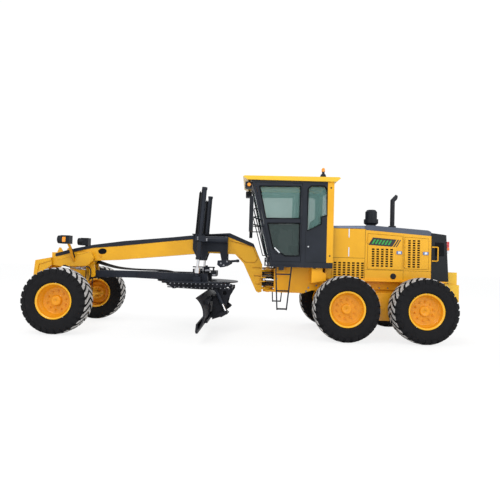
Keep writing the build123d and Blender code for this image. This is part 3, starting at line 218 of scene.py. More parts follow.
DUST = (0.32, 0.26, 0.18)
YELLOW = material("yellow_paint", (0.78, 0.395, 0.01), 0.36, dark=(0.68, 0.33, 0.008), scale=2.2,
                  amount=0.5, coat=0.15, bump=0.03, bump_scale=160, dirt=DUST, dirt_top=0.9, shine=0.3)
ORANGE = material("orange_paint", (0.76, 0.345, 0.01), 0.38, dark=(0.64, 0.26, 0.008), scale=2.6,
                  amount=0.5, coat=0.1, bump=0.04, bump_scale=150, dirt=DUST, dirt_top=0.9, shine=0.25)
FRAME = material("frame_paint", (0.92, 0.43, 0.012), 0.38, dark=(0.8, 0.35, 0.01), scale=2.6,
                 amount=0.5, coat=0.1, bump=0.04, bump_scale=150, dirt=DUST, dirt_top=0.7, shine=0.25)
# Painted shade: dark lines along the gooseneck's pressed contour and under its raised bars
SHADE_LINE_PAINT = material("paint_shadow", (0.42, 0.16, 0.006), 0.5, scale=8, shine=0.2)
ROOF = material("roof_paint", (0.82, 0.5, 0.03), 0.34, dark=(0.74, 0.43, 0.025), scale=2,
                amount=0.5, coat=0.25, bump=0.02, shine=0.3)
# The rim paint in two tones: the disc darker, as painted shade, and the lip lighter, as a painted highlight
RIM = material("rim_paint", (0.76, 0.3, 0.008), 0.36, dark=(0.64, 0.24, 0.006), scale=3,
               amount=0.5, coat=0.15, bump=0.03, shine=0.25)
RIM_LIP_HIGHLIGHT = material("rim_lip_highlight_paint", (0.88, 0.47, 0.02), 0.34, dark=(0.8, 0.41, 0.016), scale=3,
                    coat=0.2, shine=0.3)
CHARCOAL = material("charcoal_paint", (0.016, 0.02, 0.03), 0.46, dark=(0.01, 0.012, 0.018), scale=3,
                    amount=0.5, bump=0.05, bump_scale=220, shine=0.22)
CAB_PAINT = material("cab_paint", (0.016, 0.02, 0.029), 0.42, dark=(0.011, 0.014, 0.02), scale=2,
                     bump=0.04, bump_scale=240, shine=0.25)
WORN = material("worn_charcoal", (0.01, 0.011, 0.017), 0.52, dark=(0.005, 0.0055, 0.009), scale=5,
                amount=0.3, bump=0.25, bump_scale=70, dirt=(0.03, 0.03, 0.032), dirt_top=1.3, shine=0.18)
REAR_GREY = material("rear_housing_paint", (0.009, 0.011, 0.014), 0.46, dark=(0.006, 0.007, 0.009),
                     scale=3, shine=0.22)
HOOD_GREY = material("hood_top_paint", (0.075, 0.09, 0.125), 0.4, dark=(0.055, 0.066, 0.094), scale=2.4,
                     amount=0.5, bump=0.03, shine=0.35)
# A lighter copy of the hood top's blue-grey paint: a painted highlight on the hood top's front part
HIGHLIGHT_GREY = material("painted_highlight_grey", (0.15, 0.19, 0.29), 0.36, dark=(0.12, 0.155, 0.24), scale=3,
                     coat=0.2)
PLASTIC = material("black_plastic", (0.012, 0.014, 0.019), 0.5, scale=14, bump=0.12, bump_scale=420,
                   shine=0.2)
RUBBER = material("hose_rubber", (0.008, 0.008, 0.01), 0.5, scale=20, bump=0.15, bump_scale=300,
                  shine=0.25)
SEAL = material("window_seal", (0.004, 0.0045, 0.006), 0.6, scale=30, bump=0.08, bump_scale=300,
                shine=0.1)
SIDEWALL = material("tyre_sidewall", (0.011, 0.011, 0.0125), 0.7, dark=(0.005, 0.005, 0.006), scale=9,
                    amount=0.5, bump=0.25, bump_scale=110, shine=0.14)
TREAD = material("tyre_tread_face", (0.6, 0.585, 0.57), 0.78, dark=(0.24, 0.23, 0.22), scale=26,
                 amount=0.28, bump=0.4, bump_scale=90, shine=0.2)
CHROME = material("chrome_rod", (0.82, 0.83, 0.85), 0.14, metal=1.0, dark=(0.7, 0.71, 0.73), scale=9,
                  spread=0.05)
STEEL = material("bare_steel", (0.36, 0.37, 0.39), 0.38, metal=0.9, dark=(0.22, 0.22, 0.24), scale=18,
                 bump=0.1)
BRASS = material("dull_brass", (0.3, 0.2, 0.1), 0.4, metal=0.7, dark=(0.16, 0.11, 0.06), scale=16)
EDGE = material("cutting_steel", (0.03, 0.031, 0.037), 0.5, metal=0.4, dark=(0.018, 0.018, 0.022),
                scale=14, bump=0.3, bump_scale=60, shine=0.2)
EXHAUST = material("exhaust_steel", (0.022, 0.023, 0.028), 0.5, dark=(0.012, 0.012, 0.015), scale=7,
                   bump=0.2, shine=0.2)
IRON = material("engine_iron", (0.035, 0.036, 0.04), 0.6, scale=8, bump=0.5, bump_scale=40)
# Painted shade: the dark floors of the louvre slots and the apron's holes; also the dark lines of panel
# seams
DARK = material("dark_recess", (0.008, 0.007, 0.006), 0.8, scale=10, shine=0.1)
AMBER = material("amber_lens", (0.95, 0.36, 0.015), 0.16, dark=(0.85, 0.28, 0.01), scale=18, coat=0.5,
                 alpha=0.95)
RED = material("red_lens", (0.55, 0.012, 0.015), 0.18, scale=30, coat=0.5)
CLEAR = material("clear_lens", (0.78, 0.8, 0.82), 0.12, scale=60, bump=0.3, bump_scale=400, coat=0.6)
GLASS = material("cab_glass", (0.13, 0.27, 0.245), 0.04, dark=(0.1, 0.21, 0.19), scale=1.2, spread=0.02,
                 alpha=0.42)
GREEN = material("green_stripe", (0.015, 0.34, 0.05), 0.35, scale=12)
BLACK = material("black_stripe", (0.01, 0.011, 0.012), 0.35, scale=12)
WHITE = material("white_metal", (0.74, 0.77, 0.8), 0.25, scale=20)
TRIM = material("blue_trim", (0.1, 0.2, 0.42), 0.3, scale=20)
REFLECTOR = material("amber_reflector", (0.8, 0.16, 0.02), 0.25, scale=30, coat=0.4)

# The door glass changes its tint behind the rail, at heights in metres
DOOR_RAIL_Z = (2.39, 2.41)
LOWER_TINT = (0.028, 0.050, 0.046, 1)
LOWER_ALPHA = 0.70
UPPER_ALPHA = 0.40
WEAVE_SCALE = 150.0
WEAVE_RELIEF = 0.4


def door_glass_look():
    """Cab glass whose lower pane is tinted darker."""
    mat = material("door_glass", (0.17, 0.32, 0.29), 0.04, dark=(0.13, 0.26, 0.235), scale=1.2, spread=0.02)
    tree = mat.node_tree
    link = tree.links.new
    bsdf = tree.nodes["Principled BSDF"]
    upper = ranged_height(tree, add_node(tree, "TexCoord"), From_Min=DOOR_RAIL_Z[0], From_Max=DOOR_RAIL_Z[1])
    clear = add_node(tree, "MapRange", To_Min=LOWER_ALPHA, To_Max=UPPER_ALPHA)
    shade = colour_mix(tree)
    shade.inputs["A"].default_value = LOWER_TINT
    colour = bsdf.inputs["Base Color"].links[0].from_socket
    link(upper.outputs["Result"], clear.inputs["Value"])
    link(upper.outputs["Result"], shade.inputs["Factor"])
    link(colour, shade.inputs["B"])
    link(shade.outputs["Result"], bsdf.inputs["Base Color"])
    link(clear.outputs["Result"], bsdf.inputs["Alpha"])
    return mat


def weave(name, colour):
    """Woven seat fabric, from two crossed waves."""
    mat = material(name, colour, 0.82, scale=40.0, amount=0.6)
    tree = mat.node_tree
    coords = add_node(tree, "TexCoord")
    add = add_math(tree, "ADD")
    for index, axis in enumerate(("X", "Y")):
        wave = add_node(tree, "TexWave", Scale=WEAVE_SCALE)
        wave.bands_direction = axis
        tree.links.new(coords.outputs["Object"], wave.inputs["Vector"])
        tree.links.new(wave.outputs["Fac"], add.inputs[index])
    add_relief(tree, add.outputs["Value"], WEAVE_RELIEF)
    return mat


DOOR_GLASS = door_glass_look()
FABRIC = weave("seat_fabric", (0.028, 0.030, 0.036))

CAD_LOOKS = {
    "rear_frame": FRAME, "tandem_drive": ORANGE, "engine_block": IRON, "hood_shell": YELLOW,
    "hood_top": HOOD_GREY, "rear_cap": REAR_GREY, "tail_block": ROOF, "exhaust_stack": EXHAUST,
    "air_precleaner": PLASTIC, "cab_shell": CAB_PAINT, "cab_roof": ROOF, "cab_glass": GLASS,
    "operator_seat": PLASTIC, "control_console": PLASTIC, "beacon": AMBER, "boarding_steps": CHARCOAL,
    "mirrors": PLASTIC, "work_lamps": PLASTIC, "front_frame": YELLOW, "beam_cover": CHARCOAL,
    "saddle": CHARCOAL, "headlamps": PLASTIC, "front_axle": ORANGE, "lift_barrels": CHARCOAL,
    "steering_rod": ORANGE, "drawbar": CHARCOAL, "circle": WORN, "tip_barrel": CHARCOAL,
    "blade_carrier": WORN, "tip_rod": CHROME, "mouldboard": WORN, "cutting_edge": EDGE,
}
SIDE_LOOKS = {
    "knuckle": ORANGE, "lift_rod": CHROME, "articulation_barrel": CHARCOAL, "articulation_rod": CHROME,
    "cab_door": CAB_PAINT, "door_glass": DOOR_GLASS, "hood_door_front": YELLOW, "hood_door_rear": YELLOW,
}


def paint_frame():
    """Puts a material on every CAD node."""
    looks = dict(CAD_LOOKS)
    for side, _ in SIDES:
        looks.update({f"{name}_{side}": look for name, look in SIDE_LOOKS.items()})
        for wheel, _ in WHEELS:
            looks[f"tyre_{wheel}_{side}"] = SIDEWALL
            looks[f"rim_{wheel}_{side}"] = RIM
    for name, look in looks.items():
        mesh = NODES[name].data
        mesh.materials.clear()
        mesh.materials.append(look)
        if "rod" in name and "steering" not in name:
            mesh.shade_smooth()


paint_frame()

# Mesh building
BEVEL_STEPS = 2
BEVEL_FROM = math.radians(40)


def placed(name, data):
    """A new object in the scene."""
    obj = bpy.data.objects.new(name, data)
    bpy.context.scene.collection.objects.link(obj)
    return obj


class Shape:
    """Collects solids in millimetres and turns them into one object."""

    def __init__(self):
        self.bm = bmesh.new()

    def _faces(self, verts, faces, slot):
        made = [self.bm.verts.new(v) for v in verts]
        for face in faces:
            new = self.bm.faces.new([made[i] for i in face])
            new.material_index = slot

    def box(self, x0, x1, y0, y1, z0, z1, slot=0):
        """An upright box."""
        corners = [at(x, y, z) for z in (z0, z1) for y in (y0, y1) for x in (x0, x1)]
        faces = [(0, 2, 3, 1), (4, 5, 7, 6), (0, 1, 5, 4), (2, 6, 7, 3), (0, 4, 6, 2), (1, 3, 7, 5)]
        self._faces(corners, faces, slot)

    def plate(self, points, y0, y1, slot=0):
        """A prism with an outline in X and Z."""
        count = len(points)
        area = sum(a[0] * b[1] - b[0] * a[1] for a, b in zip(points, points[1:] + points[:1]))
        if area < 0:
            points = points[::-1]
        verts = [at(x, y0, z) for x, z in points] + [at(x, y1, z) for x, z in points]
        faces = [tuple(range(count)), tuple(range(2 * count - 1, count - 1, -1))]
        faces += [(i, i + count, (i + 1) % count + count, (i + 1) % count) for i in range(count)]
        self._faces(verts, faces, slot)

    def round(self, start, end, r0, r1=None, sides=20, slot=0):
        """A round bar or cone between two points."""
        a, b = at(*start), at(*end)
        r1 = r0 if r1 is None else r1
        turn = (b - a).to_track_quat("Z", "Y").to_matrix()
        verts = []
        for centre, radius in ((a, r0), (b, r1)):
            for i in range(sides):
                angle = 2 * math.pi * i / sides
                way = turn @ Vector((math.cos(angle), math.sin(angle), 0))
                verts.append(centre + way * radius / 1000)
        faces = [tuple(range(sides - 1, -1, -1)), tuple(range(sides, 2 * sides))]
        faces += [(i, (i + 1) % sides, (i + 1) % sides + sides, i + sides) for i in range(sides)]
        self._faces(verts, faces, slot)

    def disc(self, x, z, hand, near, far, r0, r1=None, sides=20, slot=0):
        """A round that stands out from a side face."""
        self.round((x, hand * near, z), (x, hand * far, z), r0, r1, sides, slot)

    def bolt(self, where, out, r, h, slot):
        """A hexagon head on a washer."""
        p, d = Vector(where), Vector(out).normalized()
        self.round(tuple(p), tuple(p + d * h * 0.3), r * 1.35, sides=16, slot=slot)
        self.round(tuple(p + d * h * 0.28), tuple(p + d * h), r, r * 0.93, sides=6, slot=slot)

    def side_bolts(self, places, hand, y, r, h, slot=0):
        """Bolts at places in X and Z on a side face."""
        for x, z in places:
            self.bolt((x, hand * y, z), (0, hand, 0), r, h, slot)

    def done(self, name, looks, body, bevel=0.0, smooth=False):
        """Makes the object and lets it ride on a body."""
        mesh = bpy.data.meshes.new(name)
        bmesh.ops.recalc_face_normals(self.bm, faces=self.bm.faces)
        self.bm.to_mesh(mesh)
        self.bm.free()
        obj = placed(name, mesh)
        for look in looks if isinstance(looks, list) else [looks]:
            mesh.materials.append(look)
        if smooth:
            mesh.shade_smooth()
        if bevel:
            mod = obj.modifiers.new("bevel", "BEVEL")
            mod.width = bevel / 1000
            mod.segments = BEVEL_STEPS
            mod.limit_method = "ANGLE"
            mod.angle_limit = BEVEL_FROM
        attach(obj, body)
        return obj


def block(name, look, body, hand, x_span, y_span, z_span, bevel=0.0):
    """One box of one look, on one side."""
    shape = Shape()
    shape.box(*x_span, *flank(hand, *y_span), *z_span)
    shape.done(name, look, body, bevel)


def slab(name, look, body, hand, outline, near, far, bevel=0.0):
    """One prism of one look, on one side."""
    shape = Shape()
    shape.plate(outline, *flank(hand, near, far))
    shape.done(name, look, body, bevel)


def curve_object(name, points, radius, look, smooth):
    """A round section on a curve through points in millimetres."""
    curve = bpy.data.curves.new(name, "CURVE")
    curve.dimensions = "3D"
    curve.bevel_depth = radius / 1000
    curve.bevel_resolution = 3
    curve.use_fill_caps = True
    curve.resolution_u = 8
    spline = curve.splines.new("NURBS" if smooth else "POLY")
    spline.points.add(len(points) - 1)
    for point, place in zip(spline.points, points):
        point.co = (*at(*place), 1)
    if smooth:
        spline.order_u = 3
        spline.use_endpoint_u = True
    curve.materials.append(look)
    return placed(name, curve)


def pipe(name, points, radius, look, body):
    """A bent pipe or rail on one body."""
    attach(curve_object(name, points, radius, look, False), body)


def hose(name, points, radius, body):
    """A rubber hose on one body."""
    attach(curve_object(name, points, radius, RUBBER, True), body)


def joining_hose(name, points, radius, look):
    """A smooth hose from one body to another, as a fixed mesh on neither body."""
    curve = curve_object(name, points, radius, look, True)
    mesh = bpy.data.meshes.new_from_object(curve.evaluated_get(bpy.context.evaluated_depsgraph_get()))
    bpy.data.objects.remove(curve)
    mesh.name = name
    obj = placed(name, mesh)
    mesh.shade_smooth()
    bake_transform(obj)


def turned(radius, y, angle):
    """A point on a wheel about its own centre, in metres."""
    return (radius * math.cos(angle) / 1000, y / 1000, radius * math.sin(angle) / 1000)


def lathe(bm, profile, segments, hand=1):
    """Sweeps a closed run of (y, r) points round the Y axis."""
    rings = []
    turns = [2 * math.pi * i / segments for i in range(segments)]
    for y, r in profile:
        rings.append([bm.verts.new(turned(r, hand * y, turn)) for turn in turns])
    for a, b in zip(rings, rings[1:] + rings[:1]):
        for i in range(segments):
            j = (i + 1) % segments
            bm.faces.new((a[i], a[j], b[j], b[i])).smooth = True


def wheel_mesh(bm, name, looks):
    """Turns a wheel's bmesh into a mesh."""
    mesh = bpy.data.meshes.new(name)
    bm.to_mesh(mesh)
    bm.free()
    for look in looks:
        mesh.materials.append(look)
    return mesh


# Tyres: a turned carcass with chevron lugs
TYRE_STEPS = 96
LUGS = 28
LUG_SWEEP = 0.92
LUG_SECTION = (
    # turn from the lug's middle in shares of the pitch, whether at the foot
    (0.36, True),
    (0.30, False),
    (-0.30, False),
    (-0.36, True),
)
LUG_SUNK = 8
LUG_STATIONS = (
    # distance from the middle, foot radius, top radius, turn of the chevron
    (0.0, 626, 656, 0.0),
    (50, 626, 656, 0.30),
    (110, 623, 653, 0.66),
    (165, 612, 646, 0.96),
    (198, 590, 633, 1.10),
    (214, 565, 610, 1.14),
    (221, 548, 578, 1.14),
)
WORN_TO = 0.2
CARCASS = (
    # distance from the middle, radius, from the bead to the crown
    (-150, 360), (-176, 364), (-186, 371), (-190, 383), (-198, 392), (-203, 400),
    (-201, 408), (-212, 440), (-217, 470), (-219, 500), (-217, 508), (-219, 516),
    (-216, 540), (-209, 570), (-198, 594), (-183, 612), (-155, 622), (-100, 627),
    (0, 629),
)


def add_lug(bm, centre, stations, point_down):
    """One chevron lug across the tread; its worn top is pale."""
    pitch = 2 * math.pi / LUGS
    rows = []
    for y, foot, top, turn in stations:
        middle = centre + point_down * turn * pitch * LUG_SWEEP
        row = []
        for half, at_foot in LUG_SECTION:
            radius = foot - LUG_SUNK if at_foot else top
            row.append(bm.verts.new(turned(radius, y, middle + half * pitch)))
        rows.append(row)
    for a, b in zip(rows, rows[1:]):
        for i in range(len(LUG_SECTION) - 1):
            face = bm.faces.new((a[i], a[i + 1], b[i + 1], b[i]))
            worn = i == 1 and max(abs(a[i].co.y), abs(b[i].co.y)) < WORN_TO
            face.material_index = 1 if worn else 0
    for row in (rows[0], rows[-1]):
        bm.faces.new(row)


def tyre_mesh(point_down):
    """One tyre about its own centre. point_down sets which way the chevrons look."""
    bm = bmesh.new()
    lathe(bm, list(CARCASS) + [(-y, r) for y, r in reversed(CARCASS[:-1])], TYRE_STEPS)
    stations = [(-y, f, t, k) for y, f, t, k in reversed(LUG_STATIONS[1:])] + list(LUG_STATIONS)
    for index in range(LUGS):
        add_lug(bm, 2 * math.pi / LUGS * index, stations, point_down)
    bmesh.ops.recalc_face_normals(bm, faces=bm.faces)
    return wheel_mesh(bm, "tyre", (SIDEWALL, TREAD))


# Rims: outlines as distance from the middle and radius
RIM_STEPS = 72
RIM_FLANGE = ((168, 356), (182, 356.5), (187, 352), (186, 345), (178, 341), (172, 334), (169, 325))
RIM_BARREL = (
    (-152, 306), (-160, 322), (-178, 338), (-186, 350), (-182, 356), (-168, 356), (-162, 340), (-152, 322),
    (150, 326), (160, 340),
)
REAR_RIM = RIM_FLANGE + (
    (163, 319), (128, 314), (104, 308), (92, 298), (86, 288), (66, 280), (58, 268), (55, 250), (55, 236),
    (52, 228), (52, 132), (55, 124), (55, 112), (58, 102), (92, 98), (99, 93), (101, 84), (101, 62),
    (97, 56), (97, 0.5), (24, 0.5), (24, 72), (-232, 72), (-232, 158), (20, 163), (30, 230), (34, 262),
    (56, 292), (92, 306),
) + RIM_BARREL
FRONT_RIM = RIM_FLANGE + (
    (160, 319), (120, 314), (112, 300), (80, 292), (72, 280), (46, 272), (30, 262), (22, 246), (20, 232),
    (18, 120), (24, 108), (60, 102), (74, 96), (82, 86), (84, 44), (78, 38), (78, 0.5), (-14, 0.5),
    (-14, 72), (-138, 72), (-138, 158), (-8, 163), (-2, 230), (6, 268), (40, 288), (76, 306),
) + RIM_BARREL
FRONT_DISC_Y = 18
REAR_DISC_Y = 52
# Radius in metres from which the rim's faces get the painted highlight
RIM_HIGHLIGHT_FROM = 0.326
NUTS = 10
NUT_CIRCLE = 185
NUT_TURN = 0.2
NUT = (
    # radius, start and end from the disc's face, sides
    (25, -4, 5, 16),
    (17, 4, 26, 6),
    (9, 24, 36, 10),
)


def add_stud(bm, centre, radius, y0, y1, sides):
    """A prism along Y, for a nut or its washer."""
    lower, upper = [], []
    for i in range(sides):
        turn = 2 * math.pi * i / sides
        x, z = centre.x + radius * math.cos(turn), centre.z + radius * math.sin(turn)
        lower.append(bm.verts.new((x / 1000, y0 / 1000, z / 1000)))
        upper.append(bm.verts.new((x / 1000, y1 / 1000, z / 1000)))
    for i in range(sides):
        j = (i + 1) % sides
        bm.faces.new((lower[i], lower[j], upper[j], upper[i]))
    bm.faces.new(upper)
    bm.faces.new(lower)


def rim_mesh(profile, disc_y, hand):
    """A rim with its nuts; its lip gets a lighter copy of the rim paint, a painted highlight."""
    bm = bmesh.new()
    lathe(bm, profile, RIM_STEPS, hand)
    for index in range(NUTS):
        angle = 2 * math.pi * index / NUTS + NUT_TURN
        centre = Vector((NUT_CIRCLE * math.cos(angle), 0, NUT_CIRCLE * math.sin(angle)))
        for radius, start, end, sides in NUT:
            add_stud(bm, centre, radius, hand * (disc_y + start), hand * (disc_y + end), sides)
    bmesh.ops.recalc_face_normals(bm, faces=bm.faces)
    for face in bm.faces:
        centre = face.calc_center_median()
        if math.hypot(centre.x, centre.z) > RIM_HIGHLIGHT_FROM:
            face.material_index = 1
    return wheel_mesh(bm, "rim", (RIM, RIM_LIP_HIGHLIGHT))


def place_wheels():
    """Six tyres and rims in the place of their CAD nodes."""
    front_tyre, back_tyre = tyre_mesh(-1), tyre_mesh(1)
    for wheel, x in WHEELS:
        front = wheel == "front"
        profile, disc_y = (FRONT_RIM, FRONT_DISC_Y) if front else (REAR_RIM, REAR_DISC_Y)
        for side, hand in SIDES:
            tyre = placed(f"tread_{wheel}_{side}", front_tyre if front else back_tyre)
            rim = placed(f"wheel_rim_{wheel}_{side}", rim_mesh(profile, disc_y, hand))
            for obj, node, slot in ((tyre, f"tyre_{wheel}_{side}", "tyre"),
                                    (rim, f"rim_{wheel}_{side}", "rim_paint")):
                obj.matrix_world = Matrix.Translation(at(x, hand * TRACK_Y, AXLE_Z))
                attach(obj, f"wheel_{wheel}_{side}")
                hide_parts(node)


place_wheels()

# Hood: louvres, hinge strips, latches, stripe, tail fittings
LOUVRE_PITCH = (97, 50)
LOUVRE_SIZE = (57, 33)
LOUVRE_FLOOR_Y = (586.1, 587.5)
FRONT_LOUVRES = (-930, 1250, 7, 7)
LATCH_Z = 1812
PULL_Y = (618.5, 624)
HOOD_DOORS = (
    # name, x of the latch edge, louvres as first x, first z, columns and lines
    ("front", 513, (-128, 1505, 5, 8)),
    ("rear", 1072, (638, 1505, 3, 12)),
)
HINGE_STRIP_X = (-628, -606)
HINGE_STRIPS = ((2108, 2290), (1705, 1898))
PORT = (332, 1310)
STRIPE_BASE = (
    [(-205, 1962), (300, 1935), (392, 2088), (-110, 2122)],
    [(322, 1934), (352, 1932), (444, 2084), (414, 2087)],
    [(374, 1931), (396, 1930), (486, 2080), (464, 2082)],
)
STRIPE_Y = (603.1, 604.4)
STRIPE_BAR = ((-20, 1988), (14, 1986), (70, 2078), (36, 2080))
STRIPE_BAR_Y = (604.1, 605.2)
STRIPE_BARS = 6
STRIPE_BAR_X = -118
STRIPE_BAR_PITCH = 68
STRIPE_BAR_DROP = 3.4
TAIL_HANDLE = (
    (1140, 604, 1950), (1232, 640, 1950), (1250, 650, 1940), (1250, 650, 1670), (1232, 640, 1656),
    (1140, 604, 1656),
)
TAIL_LAMP = (
    # x0, x1, z0, z1 of the red lamp, the reflector and the clear lamp
    (1462, 1530, 1950, 2078),
    (1468, 1534, 1890, 1948),
    (1474, 1538, 1828, 1888),
)
CAP_PANEL = [(1204, 1764), (1404, 1764), (1392, 2046), (1204, 2056)]
HOOD_SEAMS = (
    # x0, x1, z0, z1
    (-950, -275, 1672, 1678),
    (-274, -268, 1250, 2290),
    (540, 545, 1240, 2200),
    (-268, 1125, 1432, 1437),
    (-950, -275, 2294, 2299),
)
# The band of painted highlight on the hood top's front part
HOOD_TOP_HIGHLIGHT = [(-955, 2303), (-290, 2303), (-290, 2352), (-955, 2344)]
FRAME_BOLTS = ((-2120, 980), (-2120, 1180), (-2120, 1380), (-1430, 1010), (-1260, 1060), (-1480, 930))
RAIL_BOLTS_X = range(-820, 1400, 180)
RAIL_BOLTS_Z = 1050
MOUNT_BOLTS = ((-1308, 1388), (-1100, 1388))


def louvre_shades(name, body, hand, x0, z0, columns, lines):
    """A dark floor in each louvre slot."""
    shape = Shape()
    for column in range(columns):
        for line in range(lines):
            x, z = x0 + column * LOUVRE_PITCH[0], z0 + line * LOUVRE_PITCH[1]
            shape.box(x + 1, x + LOUVRE_SIZE[0], *flank(hand, *LOUVRE_FLOOR_Y), z + 1, z + LOUVRE_SIZE[1])
    shape.done(name, DARK, body)


def hinge_strips(side, hand):
    """Two bright strips on the hood's front panel."""
    x0, x1 = HINGE_STRIP_X
    x = (x0 + x1) / 2
    strips = Shape()
    for z0, z1 in HINGE_STRIPS:
        strips.box(x0, x1, *flank(hand, HOOD_Y + 0.5, HOOD_Y + 6), z0, z1)
        strips.side_bolts([(x, z0 + 22), (x, z1 - 22)], hand, HOOD_Y + 6, 6, 4)
    strips.done(f"hinge_strips_{side}", WHITE, "rear", bevel=2)


def side_port(side, hand):
    """The round filler port low on the hood."""
    ring = Shape()
    ring.disc(*PORT, hand, HOOD_Y, HOOD_Y + 16, 62, 58, 40)
    ring.disc(*PORT, hand, HOOD_Y + 15, HOOD_Y + 24, 44, 40, 32)
    ring.done(f"side_port_{side}", PLASTIC, "rear", bevel=2)


def door_latch(name, side, hand, edge_x):
    """A blue latch plate with a white pull."""
    body = f"hood_door_{name}_{side}"
    block(f"latch_{name}_{side}", TRIM, body, hand, (edge_x - 124, edge_x - 8),
          (LATCH_Y, LATCH_Y + 4.8), (LATCH_Z - 33, LATCH_Z + 33), 3)
    block(f"latch_pull_{name}_{side}", WHITE, body, hand, (edge_x - 92, edge_x - 34),
          PULL_Y, (LATCH_Z - 22, LATCH_Z + 24), 3)


def side_stripe(side, hand):
    """A plain green and black stripe in the printed mark's place."""
    mark = Shape()
    for outline in STRIPE_BASE:
        mark.plate(outline, *flank(hand, *STRIPE_Y), 1)
    for index in range(STRIPE_BARS):
        x, drop = STRIPE_BAR_X + index * STRIPE_BAR_PITCH, index * STRIPE_BAR_DROP
        mark.plate([(x + dx, z - drop) for dx, z in STRIPE_BAR], *flank(hand, *STRIPE_BAR_Y), 0)
    mark.done(f"side_stripe_{side}", [GREEN, BLACK], f"hood_door_front_{side}")


def tail_fittings(side, hand):
    """Grab handle, tail lamp and dark panel on the rear cap."""
    pipe(f"tail_handle_{side}", mirrored(TAIL_HANDLE, hand), 14, YELLOW, "rear")
    lamp = Shape()
    for slot, (x0, x1, z0, z1) in enumerate(TAIL_LAMP):
        lamp.box(x0, x1, *flank(hand, 470, 560), z0, z1, slot)
    lamp.done(f"tail_lamp_{side}", [RED, REFLECTOR, CLEAR], "rear", bevel=4)
    slab(f"cap_panel_{side}", SEAL, "rear", hand, CAP_PANEL, 603.5, 607, 2)


def panel_seams(name, seams, hand, near, far):
    """Dark lines where panels meet."""
    shape = Shape()
    for x0, x1, z0, z1 in seams:
        shape.box(x0, x1, *flank(hand, near, far), z0, z1)
    shape.done(name, DARK, "rear")


def frame_bolts(side, hand):
    """Bolts on the rear frame's side and rail."""
    bolts = Shape()
    bolts.side_bolts(FRAME_BOLTS, hand, FRAME_Y + 0.5, 15, 12)
    bolts.side_bolts([(x, RAIL_BOLTS_Z) for x in RAIL_BOLTS_X], hand, RAIL_Y + 0.5, 12, 9)
    bolts.done(f"frame_bolts_{side}", STEEL, "rear")


for side, hand in SIDES:
    louvre_shades(f"louvre_shade_{side}", "rear", hand, *FRONT_LOUVRES)
    hinge_strips(side, hand)
    side_port(side, hand)
    for name, edge_x, slots in HOOD_DOORS:
        louvre_shades(f"door_shade_{name}_{side}", f"hood_door_{name}_{side}", hand, *slots)
        door_latch(name, side, hand, edge_x)
    side_stripe(side, hand)
    tail_fittings(side, hand)

for side, hand in SIDES:
    panel_seams(f"hood_seams_{side}", HOOD_SEAMS, hand, HOOD_Y + 0.2, HOOD_Y + 1.2)
    # Painted highlight on the hood top's front part
    slab(f"hood_highlight_band_{side}", HIGHLIGHT_GREY, "rear", hand, HOOD_TOP_HIGHLIGHT, 592.3, 597, 2)
    frame_bolts(side, hand)

# Cab trim
GRIP_BAR = [(-2212, 1830), (-2196, 1850), (-2085, 1744), (-2100, 1726)]
GRIP_FEET = (
    [(-2206, 1826), (-2190, 1842), (-2172, 1824), (-2188, 1808)],
    [(-2124, 1764), (-2108, 1766), (-2094, 1748), (-2110, 1738)],
)
DOOR_PANES = (
    ((-2545, 3119), (-1689, 3137), (-1693, 2460), (-2395, 2449)),
    ((-2357, 2348), (-1685, 2367), (-1682, 1681), (-1967, 1673), (-2235, 1830)),
)
REAR_WINDOW = (
    (-1528, 3089), (-1462, 3150), (-1199, 3157), (-1137, 3100), (-1124, 2543), (-1242, 2507), (-1239, 2360),
    (-1527, 2210), (-1528, 3089),
)
SEAL_Y = 761.0
SEAL_R = 13
CAB_SEAMS = ((-1560, -1555, 1560, 2195), (-1557, -1120, 1556, 1561))
PILLAR_X = (-1118, -982)
PILLAR_Z = (1556, 3244)
PILLAR_BOLTS = ((-1050, 1700), (-1050, 3120))
FRONT_RAIL = (
    (-2545, 745, 2640), (-2640, 790, 2640), (-2650, 800, 2610), (-2400, 800, 1700), (-2385, 790, 1690),
    (-2320, 745, 1690),
)


def door_grip(side, hand):
    """The slanted white grip on the cab door."""
    grip = Shape()
    grip.plate(GRIP_BAR, *flank(hand, 790.5, 800))
    for foot in GRIP_FEET:
        grip.plate(foot, *flank(hand, 759.5, 791))
    grip.done(f"door_grip_{side}", WHITE, f"cab_door_{side}", bevel=4)


def door_seals(side, hand):
    """Rubber round the door's two panes."""
    for index, pane in enumerate(DOOR_PANES):
        cx = sum(x for x, _ in pane) / len(pane)
        cz = sum(z for _, z in pane) / len(pane)
        inset = [(x + (1 if x < cx else -1), hand * SEAL_Y, z + (1 if z < cz else -1)) for x, z in pane]
        pipe(f"door_seal_{side}_{index}", inset + inset[:1], SEAL_R, SEAL, f"cab_door_{side}")


def rear_pillar(side, hand):
    """The yellow pillar behind the rear side window, with its bolts."""
    block(f"cab_rear_pillar_{side}", YELLOW, "rear", hand, PILLAR_X, (CAB_Y - 2, CAB_Y + 4), PILLAR_Z, 4)
    dots = Shape()
    dots.side_bolts(PILLAR_BOLTS, hand, CAB_Y + 4, 13, 6)
    dots.done(f"pillar_bolts_{side}", PLASTIC, "rear")


for side, hand in SIDES:
    door_grip(side, hand)
    door_seals(side, hand)
    pipe(f"window_seal_{side}", traced(REAR_WINDOW, hand, SEAL_Y), SEAL_R, SEAL, "rear")
    panel_seams(f"cab_seams_{side}", CAB_SEAMS, hand, CAB_Y + 0.2, CAB_Y + 1.0)
    rear_pillar(side, hand)
    knob = Shape()
    knob.disc(-1500, 1880, hand, CAB_Y, CAB_Y + 15, 16, 13)
    knob.done(f"panel_lock_{side}", WHITE, "rear", bevel=2)
    pipe(f"front_rail_{side}", mirrored(FRONT_RAIL, hand), 13, PLASTIC, "rear")

